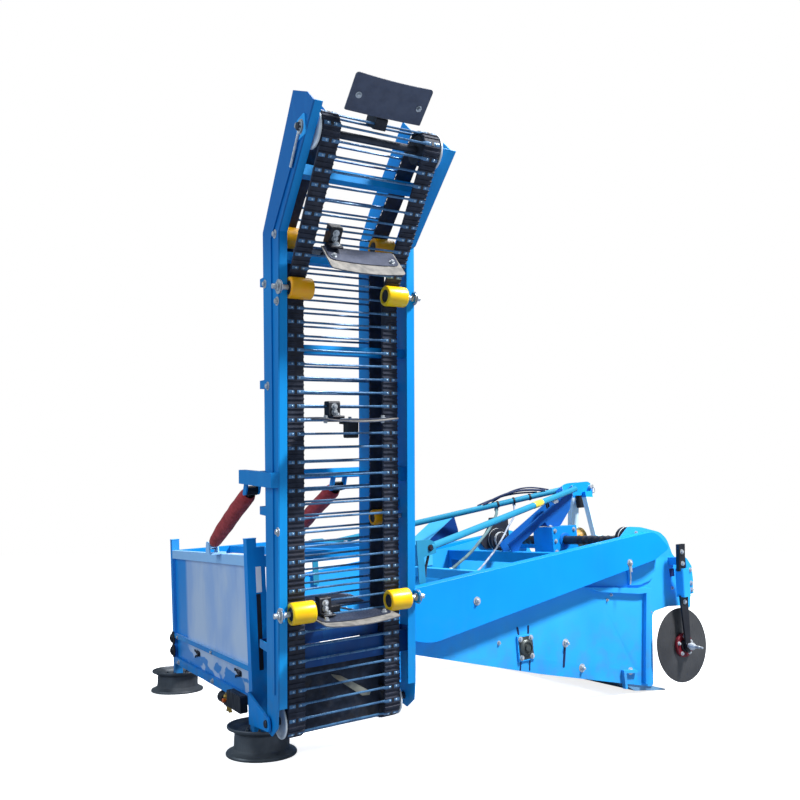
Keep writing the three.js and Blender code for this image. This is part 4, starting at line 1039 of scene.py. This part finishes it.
# ---------------------------------------------------------------- digging and cross webs
# The digging web lifts the crop from the share to the cross web, which carries it to the
# elevator. Both are rod webs on two rubber belts, with rubber drums on dark shafts at the ends.
WALL_LOW, WALL_HIGH = 101.3, 1668.7         # inner faces of the side plates, y
DIG_CIRCLES = [(905, 452, 50), (2600, -40, 50)]
DIG_BELTS = [(150, 210), (1560, 1620)]
CROSS_CIRCLES = [(150, 300, 42), (1640, 330, 42)]
CROSS_BELTS = [(75, 135), (560, 620)]
WEB_IRON = iron("web_iron", (88, 92, 100), (64, 66, 72), 0.4, 0.5, 0.35, 14)
FLOOR_WEBS = [                # name, circles, rods, belts, runs along the machine, shaft: radius, span
  ("digging_web", DIG_CIRCLES, 76, DIG_BELTS, True, 22, (WALL_LOW, WALL_HIGH)),
  ("cross_web", CROSS_CIRCLES, 62, CROSS_BELTS, False, 18, (58, 660)),
]
for name, circles, count, belts, sideways, shaft, (start, end) in FLOOR_WEBS:
    web(name, name, circles, count, 0, belts, 5.0, WEB_IRON, "root", sideways, 2)
    drums, shafts = [], []
    for u, v, radius in circles:
        place, way = ((u, start, v), OUT_LEFT) if sideways else ((start, u, v), FORWARD)
        drum = radius - 4.6
        for edge, _ in belts:
            offset = edge - start
            ring = mirrored([(shaft, offset), (drum, offset)], 2 * offset + 60)
            drums.append(turned(ring, place, way))
        shafts.append(turned(mirrored([(0, 0), (shaft, 0)], end - start), place, way, 20))
    build(name + "_drums", drums, DRUM_RUBBER, "root", "web_rubber")
    build(name + "_shafts", shafts, SHAFT_STEEL, "root", "web_steel")
softened("share", iron("share_steel", (122, 172, 208), (96, 144, 184), 0.5, 0.3, 0.1),
         0.0002)

# ---------------------------------------------------------------- cross web motor
# A small cast hydraulic motor hangs under the rear rail. An orange cap closes its free port, and
# brass elbows lead to its two ports; its round body lies along the web's shaft.
motor = [boxed((12.4, 51.6), (560.4, 639.6), (110.4, 177.3), 8),
         turned([(0, 0), (28, 0), (32, 4), (32, 20), (29, 23), (29, 56), (32, 59), (32, 74),
                 (26, 80), (0, 80)], (32, 640, 140), OUT_LEFT, 28)]
black("motor_casting", motor, replaced=["hydraulic_motor"])
cap = [(0, 0), (12, 0), (12, 14), (10, 17), (0, 17)]
build("motor_cap", [turned(cap, (12, 600, 140), REARWARD, 16)],
      moulded("orange_cap", (246, 120, 20), (226, 100, 14)), "root", "yellow_roller")
BRASS = iron("brass", (206, 170, 84), (176, 140, 64), 0.3, 0.7, 0.05)
elbow = [(0, 0), (13, 0), (13, 8), (8, 9), (8, 24), (11, 25), (11, 34), (0, 34)]
ports = [turned(elbow, (32, y, 108), DOWN, 6) for y in (580, 620)]
ports.append(studs([(12, 578, 165)], REARWARD, 16, 22, 7))
build("motor_ports", ports, BRASS, "root", "bright_steel")


# ---------------------------------------------------------------- cross shaft guards
# The drive shaft to each side runs in a black plastic guard: a tube, a flared bell with pale
# rings and a wide disc. The left one has a folded cover plate, which is dark and dusty.
GUARD_PLASTIC = moulded("guard_plastic", (34, 40, 54), (26, 30, 42), 0.42, 0.05, 0.15)
AXLE_X, AXLE_Z, GEARBOX_SIDE = 2755, 795, 110
COVER_Y = 1639.7              # near face of the cover plate
MIDDLE = TRACK / 2
guard_length = MIDDLE - GEARBOX_SIDE - WALL_LOW
RIBS = [z for start in range(150, 520, 60) for z in (start, start + 6, start + 14, start + 20)]
guard_tube = [(32 + (3 if i % 4 in (1, 2) else 0), z) for i, z in enumerate(RIBS)]
guard = lathe([(28, 0), (32, 0), (32, 27), (94, 28), (95, 32), (95, 68), (93, 72), (62, 73),
               (62, 98), (58, 104), (36, 108), *guard_tube, (32, guard_length - 0.6),
               (28, guard_length - 0.6)], 36)
rings = [lathe([(62, z), (65, z + 1), (65, z + 5), (62, z + 6)], 32) for z in (76, 92)]
rings.append(lathe([(94, 34), (96, 36), (96, 40), (94, 42)], 40))
for side, way in (("right", 1), ("left", -1)):
    start = WALL_LOW if way > 0 else WALL_HIGH
    axis = [standing((AXLE_X, start, AXLE_Z), (0, way, 0))]
    parts = [copies(guard, axis)]
    if way < 0:
        corners = [(2580, 790), (2592, 768), (2625, 728), (2646, 725), (2885, 725), (2893, 985),
                   (2690, 985), (2671, 908)]
        parts.append(slab(corners, COVER_Y, 8))
    build(f"shaft_guard_{side}", parts, GUARD_PLASTIC, "root", "black_paint",
          [f"cross_shaft_tube_{side}"])
    build(f"shaft_guard_rings_{side}", [copies(ring, axis) for ring in rings],
          DISC_PLASTIC, "root", "bright_steel")

# ---------------------------------------------------------------- gearbox fittings
# Cast blue box: bolted side cover, filler plug, input shaft with splines, and a data plate that
# is left blank.
covers = [(x, MIDDLE - GEARBOX_SIDE, z) for x in (2660, 2850) for z in (715, 795, 872)]
steel("gearbox_bolts", [studs(covers, OUT_RIGHT, 12, 17, 5),
                        studs([(2660, MIDDLE - 60, 900)], UP, 16, 26, 9)])
spline = [(r * math.cos(a), r * math.sin(a)) for start in np.arange(12) * math.pi / 6
          for r, a in ((19.32, start), (19.32, start + 0.26), (16.38, start + 0.28),
                       (16.38, start + 0.50))]
build("input_shaft", [swept([(2906, MIDDLE, AXLE_Z), (2990.4, MIDDLE, AXLE_Z)], OUT_LEFT, UP,
                            spline)], ROD_CHROME, "root", "bright_steel", angle=20)
cast = [(40, 0), (56, 0), (56, 22), (50, 26), (50, 34), (40, 36)]
build("input_collar", [turned(cast, (2869, MIDDLE, AXLE_Z), FORWARD, 32)], DEEP_BLUE, "root",
      "blue_paint")
bell = [(60, 0), (63, 0), (66, 60), (74, 118), (78, 122), (75, 123), (71, 119), (63, 61)]
build("input_bell", [turned(bell, (2890, MIDDLE, AXLE_Z), FORWARD, 36)],
      moulded("bell_yellow", (214, 164, 72), (190, 140, 56)), "root", "yellow_roller")
for side, way in (("right", -1), ("left", 1)):
    build(f"output_collar_{side}",
          [turned([(34, 0), (58, 0), (58, 4), (50, 8), (34, 8)],
                  (AXLE_X, MIDDLE + way * (GEARBOX_SIDE + 0.2), AXLE_Z), (0, way, 0), 32)],
          DEEP_BLUE, "root", "blue_paint")


# ---------------------------------------------------------------- disc coulters
# A plain steel disc on each side cuts the tops ahead of the share. Its black blade hangs from a
# blue square tube that two bolts hold in a black plate. The disc's flange is maroon.
COULTER_X, COULTER_Z = 3078, 55
DISC_STEEL = iron("disc_steel", (78, 78, 79), (60, 60, 62), 0.34, 0.35, 0.06, 5)
MAROON_IRON = iron("maroon_iron", (132, 22, 40), (96, 12, 28), 0.45, 0.2, 0.12, 30)


def raked(foot, top, wide, deep, edge=3.0):
    """A square bar from foot to top, "wide" along y and "deep" along x, with chamfered edges."""
    outline = [(wide - edge, deep), (wide, deep - edge), (wide, edge - deep), (wide - edge, -deep),
               (edge - wide, -deep), (-wide, edge - deep), (-wide, deep - edge), (edge - wide, deep)]
    return swept([foot, top], OUT_LEFT, FORWARD, outline)


def on_spindle(profile, y, count=24):
    """A part turned about the right disc's spindle, starting at "y"."""
    return turned(profile, (COULTER_X, y, COULTER_Z), OUT_LEFT, count)


for side in ("right", "left"):
    def placed(points, way=1 if side == "right" else -1):
        """Machine millimetres of the right coulter to the frame's metres, mirrored for the left."""
        points = np.asarray(points, float) * (1, way, 1) + (0, 0 if way > 0 else TRACK, 0)
        return pitched(points)

    arm, disc = f"coulter_arm_{side}", f"coulter_disc_{side}"
    gusset = [(3136, 648), (3150, 640), (3188, 585), (3188, 480), (3178, 440), (3178, 398),
              (3128, 398)]
    build(arm + "_tube", [raked((3093, 0, 385), (3108, 0, 575), 35, 35, 5),
                          boxed((3085, 3135), (-10, 94.7), (600, 650)),
                          slab(gusset, -16, 12)],
          LIGHT_BLUE, "root", "blue_paint", [arm], place=placed)
    blade = [(3052, 395), (3057, 24), (3061, 14), (3068, 10), (3086, 10), (3093, 14), (3098, 24),
             (3128, 395)]
    black(arm + "_blade", [slab(blade, -7, 14),
                           raked((3092, 0, 560), (3118, 0, 742), 17, 31, 4)], place=placed)
    cone = [(0, 0), (11, 0), (12, 8), (25, 28), (27, 40), (22, 46), (18, 47), (18, 60), (0, 60)]
    fixings = [on_spindle([(0, 0), (7, 1.5), (7, 24), (10, 26), (10, 210), (0, 210)], -124, 20),
               on_spindle(cone, -72),
               studs([(3104, -17, 690), (3098, -17, 610), (3088, -7, 350)], OUT_RIGHT, 12, 18, 6),
               studs([(3168, -16, 560), (3164, -16, 470), (3160, -16, 425)], OUT_RIGHT, 10, 17, 5)]
    steel(arm + "_bolts", fixings, place=placed)
    plate = mirrored([(11, -3), (40, -3), (234, -3), (249.2, -0.4)], 0)
    build(disc + "_plate", [on_spindle(plate, 50, 96)], DISC_STEEL, f"coulter_{side}",
          "dark_steel", [disc], place=placed)
    flange = [(41, 3), (50, 0), (74, 0), (80, 4), (80, 20), (76, 24), (41, 24)]
    build(disc + "_flange", [on_spindle(flange, 23, 40)], MAROON_IRON, f"coulter_{side}",
          "dark_steel", place=placed)
    hub = mirrored([(11, 0), (34, 0), (40, 4)], 67)
    black(disc + "_hub", [on_spindle(hub, 13, 28)], f"coulter_{side}", place=placed)
    ring = [(COULTER_X + 62 * math.cos(a), 23, COULTER_Z + 62 * math.sin(a))
            for a in np.arange(5) * 2 * math.pi / 5 + 0.3]
    steel(disc + "_bolts", [studs(ring, OUT_RIGHT, 10, 15, 5)], f"coulter_{side}", place=placed)


# ---------------------------------------------------------------- mast and brace fittings
# The top link's pin with its clips, yellow tape round the near brace, a dark bundle of hoses tied
# round the far one, and a black rubber coupling at the near brace's foot. Hose ends are swaged.
pin = [(0, 0), (17, 0), (19, 3), (19, 12), (13, 13), (13, 173), (10, 180), (0, 180)]
steel("top_link_pin", [turned(pin, (3100, MIDDLE - 94, 1188), OUT_LEFT, 20),
                       tube([(3100, MIDDLE - 98, 1188), (3118, MIDDLE - 102, 1170),
                             (3112, MIDDLE - 100, 1140), (3094, MIDDLE - 98, 1150),
                             (3094, MIDDLE - 98, 1178)], 3)])
strap = [(3051, 1186), (3129, 1186), (3127, 1032), (3120, 1025), (3062, 1025), (3055, 1032)]
black("clevis_straps", [slab(strap, y, 12) for y in (MIDDLE - 54, MIDDLE + 42)])
BRACE_TOP, BRACE_FOOT = np.array((2925, 796.5, 1178.0)), np.array((1130, 128, 890.0))


def along_brace(share, side="right"):
    """A place on a brace's axis at a share of its length from the foot, and its direction."""
    flip = np.array((1, 1 if side == "right" else -1, 1))
    shift = np.array((0, 0 if side == "right" else TRACK, 0))
    way = (BRACE_TOP - BRACE_FOOT) / np.linalg.norm(BRACE_TOP - BRACE_FOOT)
    return (BRACE_FOOT + share * (BRACE_TOP - BRACE_FOOT)) * flip + shift, way * flip


def band(radius, length, lip=1.2):
    """Section of a band round a tube, with rounded ends."""
    return mirrored([(radius - 2, 0), (radius, 0), (radius + lip, 2)], length)


build("tape_band", [turned(band(23.2, 120), *along_brace(0.65))],
      moulded("yellow_tape", (252, 226, 96), (240, 206, 60)), "root", "yellow_roller")
ties = [turned(band(24, 16, 3), *along_brace(share, "left")) for share in (0.72, 0.79, 0.86)]
black("hose_ties", ties)
LINES = [                     # radius, rise at mid-span, sideways shift, shares of the brace
  (9, 46, -10, (0.66, 0.93)), (7, 30, 8, (0.64, 0.90)), (6, 58, 2, (0.70, 0.95)),
]
bundle = []
for radius, rise, shift, (start, end) in LINES:
    knots = [along_brace(share, "left")[0]
             + (0, shift, 24 + rise * math.sin(math.pi * (share - start) / (end - start)))
             for share in np.linspace(start, end, 9)]
    bundle.append(tube(knots, radius, 10, 4))
build("tied_lines", bundle, cloth("dark_wrap", (58, 70, 104), (34, 42, 70)), "root",
      "hose_rubber", angle=60)
ferrules = []
for radius, _, _, route in HOSES:
    wide = radius + 4.6
    rings = [(wide + (0.9 if i % 2 else 0), 1 + i * 3) for i in range(7)]
    crimp = [(0, 0.5), (wide, 0.5), *rings, (wide, 28.4), (0, 28.4)]
    ferrules += [turned(crimp, end, np.subtract(end, inner), 20)
                 for end, inner in (route[:2], route[:-3:-1])]
steel("hose_ferrules", ferrules)
foot = np.array((1118, 131, 880))
coupling = tube([foot, foot + (-6, 4, -50), foot + (-26, 6, -110), foot + (-36, 4, -160)], 8, 14, 6)
build("brace_coupling", [coupling, studs([foot + (4, -16, 6)], OUT_RIGHT, 12, 20, 6)],
      cloth("coupling_rubber", (30, 32, 44), (52, 54, 60)), "root", "hose_rubber")


# ---------------------------------------------------------------- bolts and small fittings
# Galvanised bolts hold the plates; the digging web's tail shaft turns in a flanged bearing that
# slides in two slots, and a threaded bolt in a longer slot sets the web's tension.
def washered(x, y, z, way, across, length):
    """A bolt with a washer on (x, y, z), facing along "way"; its shank is 0.3 of its nut."""
    return studs([(x, y, z)], way, length, across, across * 0.3)


PLATE_FACE, BEARING_Y = 95, 82          # outer faces of the right side plate and its bearing, y
SIDE_BOLTS = [                # x, z, nut across, length: on the side plate
  (2186, 36, 28, 30), (2797, 844, 16, 12), (3093, 437, 12, 6), (1547, 284, 14, 10),
  (2502, 457, 11, 8), (2462, 429, 11, 8), (2855, 301, 10, 4), (2068, 208, 28, 34),
  (2608, -51, 26, 18),
]
GUARD_BOLTS = [(1344, 562, 26, 22), (2610, 660, 26, 18)]
bolts = [washered(x, y, z, way, across, length)
         for face, bolt_table in ((PLATE_FACE, SIDE_BOLTS), (0, GUARD_BOLTS))
         for x, z, across, length in bolt_table
         for y, way in ((face, OUT_RIGHT), (TRACK - face, OUT_LEFT))]
steel("side_bolts", bolts)
CHANNEL_BOLTS = [(-457, 2221), (-436, 1737), (-479, 1065), (-612, 2413), (-933, 2784),
                 (-600, 2100)]
steel("channel_bolts", [washered(CHANNEL_WALLS["rear"], y, z, REARWARD, 22, 14)
                        for y, z in CHANNEL_BOLTS], "elevator")
boss = [(0, 0), (50, 0), (50, 6), (42, 14), (34, 16), (32, 10), (20, 10), (18, 22), (0, 22)]
corner_bolts = [washered(x, BEARING_Y, z, OUT_RIGHT, 18, 12) for x in (1702, 1783)
                for z in (175, 284)]
build("web_bearing", [slab(cornered(1689, 1796, 162, 296, 8, 8), BEARING_Y, 2.4),
                      turned(boss, (1742, BEARING_Y, 229), OUT_RIGHT, 28)],
      iron("bearing_iron", (92, 98, 96), (54, 60, 60), 0.4, 0.5, 0.3), "root", "dark_steel")
steel("web_bearing_bolts", corner_bolts)
SLOTS = [                     # foot and top (x, z), half width: dark slots in the side plate
  ((2036, 70), (2062, 196), 9), ((1700, 316), (1694, 352), 7), ((1776, 312), (1780, 350), 7),
  ((1690, 104), (1700, 146), 5), ((1762, 92), (1770, 146), 5),
]


def slot_outline(foot, top, half):
    """Outline of a slot with round ends: two half circles of seven points."""
    foot, top = np.array(foot, float), np.array(top, float)
    heading = math.atan2(*(top - foot)[::-1])
    turn = np.linspace(-np.pi / 2, np.pi / 2, 7)
    ends = [(top, heading), (foot, heading + np.pi)]
    return [(c[0] + half * math.cos(a + t), c[1] + half * math.sin(a + t))
            for c, a in ends for t in turn]


# Painted shade: dark navy sheets laid on the plates stand for the shade inside the slots, the nose
# pockets and the beam's hole.
DARK_HOLE = moulded("slot_shadow", (4, 30, 84), (2, 22, 66), 0.6, 0.0, 0.1)
build("plate_slots", [slab(slot_outline(*slot), y, 1.2) for slot in SLOTS
                      for y in (PLATE_FACE - 1.1, TRACK - PLATE_FACE - 0.1)],
      DARK_HOLE, "root", "blue_paint")
lip = [tube([(2608, -3, 650), (2600, -6, 612), (2598, -4, 560), (2590, -3, 520)], 4, 8, 4),
       boxed((2596, 2622), (-3, -0.2), (600, 660))]
steel("guard_latch", lip)
build("nose_pockets", [boxed((3056, 3150), (y, y + 4), (498, 592)) for y in (WALL_LOW, WALL_HIGH - 4)],
      DARK_HOLE, "root", "blue_paint")
build("beam_hole", [boxed((1543.8, 1545.2), (915, 979), (655, 684))], DARK_HOLE, "root", "blue_paint")

# ---------------------------------------------------------------- elevator trim
# A stiffening strip is folded along each channel's wall. The top shaft's bearing slides on a
# plate that a threaded bolt pulls, and a black rubber flap hangs behind the web's foot.
OUTER_EDGE, FOLD = 152, 2237  # of the channels: from their inner edge, and its fold's height
HEAD_START = (-654, 2414)     # a place on the head's outer edge, (y, z)


def along_channel(out_low, out_high, start, head_end):
    """Corners (y, z) of a strip along the channel: up the lower section to the fold, then up the
    head to "head_end" from its start."""
    head_sine, head_cosine = math.sin(HEAD_LEAN), math.cos(HEAD_LEAN)

    def on_head(along, out):
        """(y, z) on the head: "along" it from its start, "out" from the inner edge."""
        beyond = out - OUTER_EDGE
        return (HEAD_START[0] - along * head_sine - beyond * head_cosine,
                HEAD_START[1] + along * head_cosine - beyond * head_sine)

    fold_slope = math.tan((HEAD_LEAN - LEAN) / 2)
    bend = [low(FOLD + (out - OUTER_EDGE) * fold_slope, out) for out in (out_low, out_high)]
    return [low(start, out_low), bend[0], on_head(head_end, out_low), on_head(head_end, out_high),
            bend[1], low(start, out_high)]


strip = along_channel(96, 124, 150, 480)
build("channel_strips", [prism([(CHANNEL_WALLS[side], *corner) for corner in strip], travel)
                         for side, travel in (("rear", (-7, 0, 0)), ("front", (7, 0, 0)))],
      CHANNEL_BLUE, "elevator", "blue_paint")


def hung(outline, out, thick):
    """A sheet hung "out" from the channels' inner edge, of an outline in (x, height up them)."""
    return prism([(x, *low(up, out)) for x, up in outline], (0, thick, 0))


flap = [(104, 238), (508, 238), (508, -52), (430, -60), (300, -54), (180, -61), (104, -55)]
build("foot_flap", [hung(flap, 66, 4)],
      ribbed_rubber("flap_rubber", (22, 30, 46), (38, 48, 66), 0.25), "elevator",
      "web_rubber")
# Painted shade: the board behind the web is painted navy for the shade inside the elevator's foot.
build("foot_board", [hung([(104, 338), (508, 338), (508, 436), (104, 436)], 66, 4)],
      enamel("board_navy_shade", (10, 66, 132), (4, 46, 104), chalk=0.2), "elevator", "blue_paint")
batten = [(250, 180), (302, 164), (462, 62), (455, 46), (415, 50), (262, 164)]
build("flap_batten", [hung(batten, 72, 3)],
      moulded("batten_grey", (150, 150, 138), (112, 114, 108), 0.7, 0.0, 0.5), "elevator",
      "web_rubber")
lip = [(670.8, *HEAD_START), (677, -661, 2421), (700, -1035, 2758), (670.8, -1035, 2758)]
build("head_lip", [prism(lip, (0, 3.3, 3.7))], CHANNEL_BLUE, "elevator", "blue_paint")
top_y, top_z = TOP
slide = [boxed((-53, -47.8), (top_y - 46, top_y + 46), (top_z - 46, top_z + 46), 10)]
build("head_slide", slide, LIGHT_BLUE, "elevator", "blue_paint")
steel("head_tensioner", [tube([(-58, top_y + 10, top_z - 12), (-58, top_y + 120, top_z - 130)], 6,
                              10, 1, smooth=False),
                         washered(-53, top_y, top_z, REARWARD, 34, 13)], "elevator")

# ---------------------------------------------------------------- rear frame fittings
# Folded caps close the posts. The near post has a blank pale label over a dark strip, the far
# one a flanged bearing, and a rubber block pads the elevator where it rests.
POST_TOPS = [((-42.5, 7.5), 0, 1030), ((7, 50), 0, 985), ((20, 70), TRACK, 1012)]
caps = [boxed((x0 - 2, x1 + 2), (y - 27, y + 27), (top - 1, top + 4), 3)
        for (x0, x1), y, top in POST_TOPS]
build("post_caps", caps, LIGHT_BLUE, "root", "blue_paint")
build("blank_label", [boxed((-1, 27), (-26.2, -25.1), (765, 891))],
      moulded("label_white", (252, 253, 255), (240, 244, 250), 0.5, 0.0, 0.05), "root",
      "panel_paint")
black("post_seal", [boxed((-2, 20), (-26.4, -25.1), (392, 758)),
                    boxed((-42, -4), (171, 396), (155, 240), 8)])
flange = [(0, 0), (44, 0), (44, 6), (30, 12), (26, 20), (14, 20), (12, 26), (0, 26)]
build("far_post_bearing", [turned(flange, (20, TRACK, z), REARWARD) for z in (262, 346)],
      BLACK_IRON, "root", "dark_steel")
steel("frame_bolts", [washered(20, y, z, REARWARD, 18, 10)
                      for y in (120, 860, 1640) for z in (200, 364)] +
      [washered(812, 60 + 550 * k, 938, UP, 20, 12) for k in range(4)])
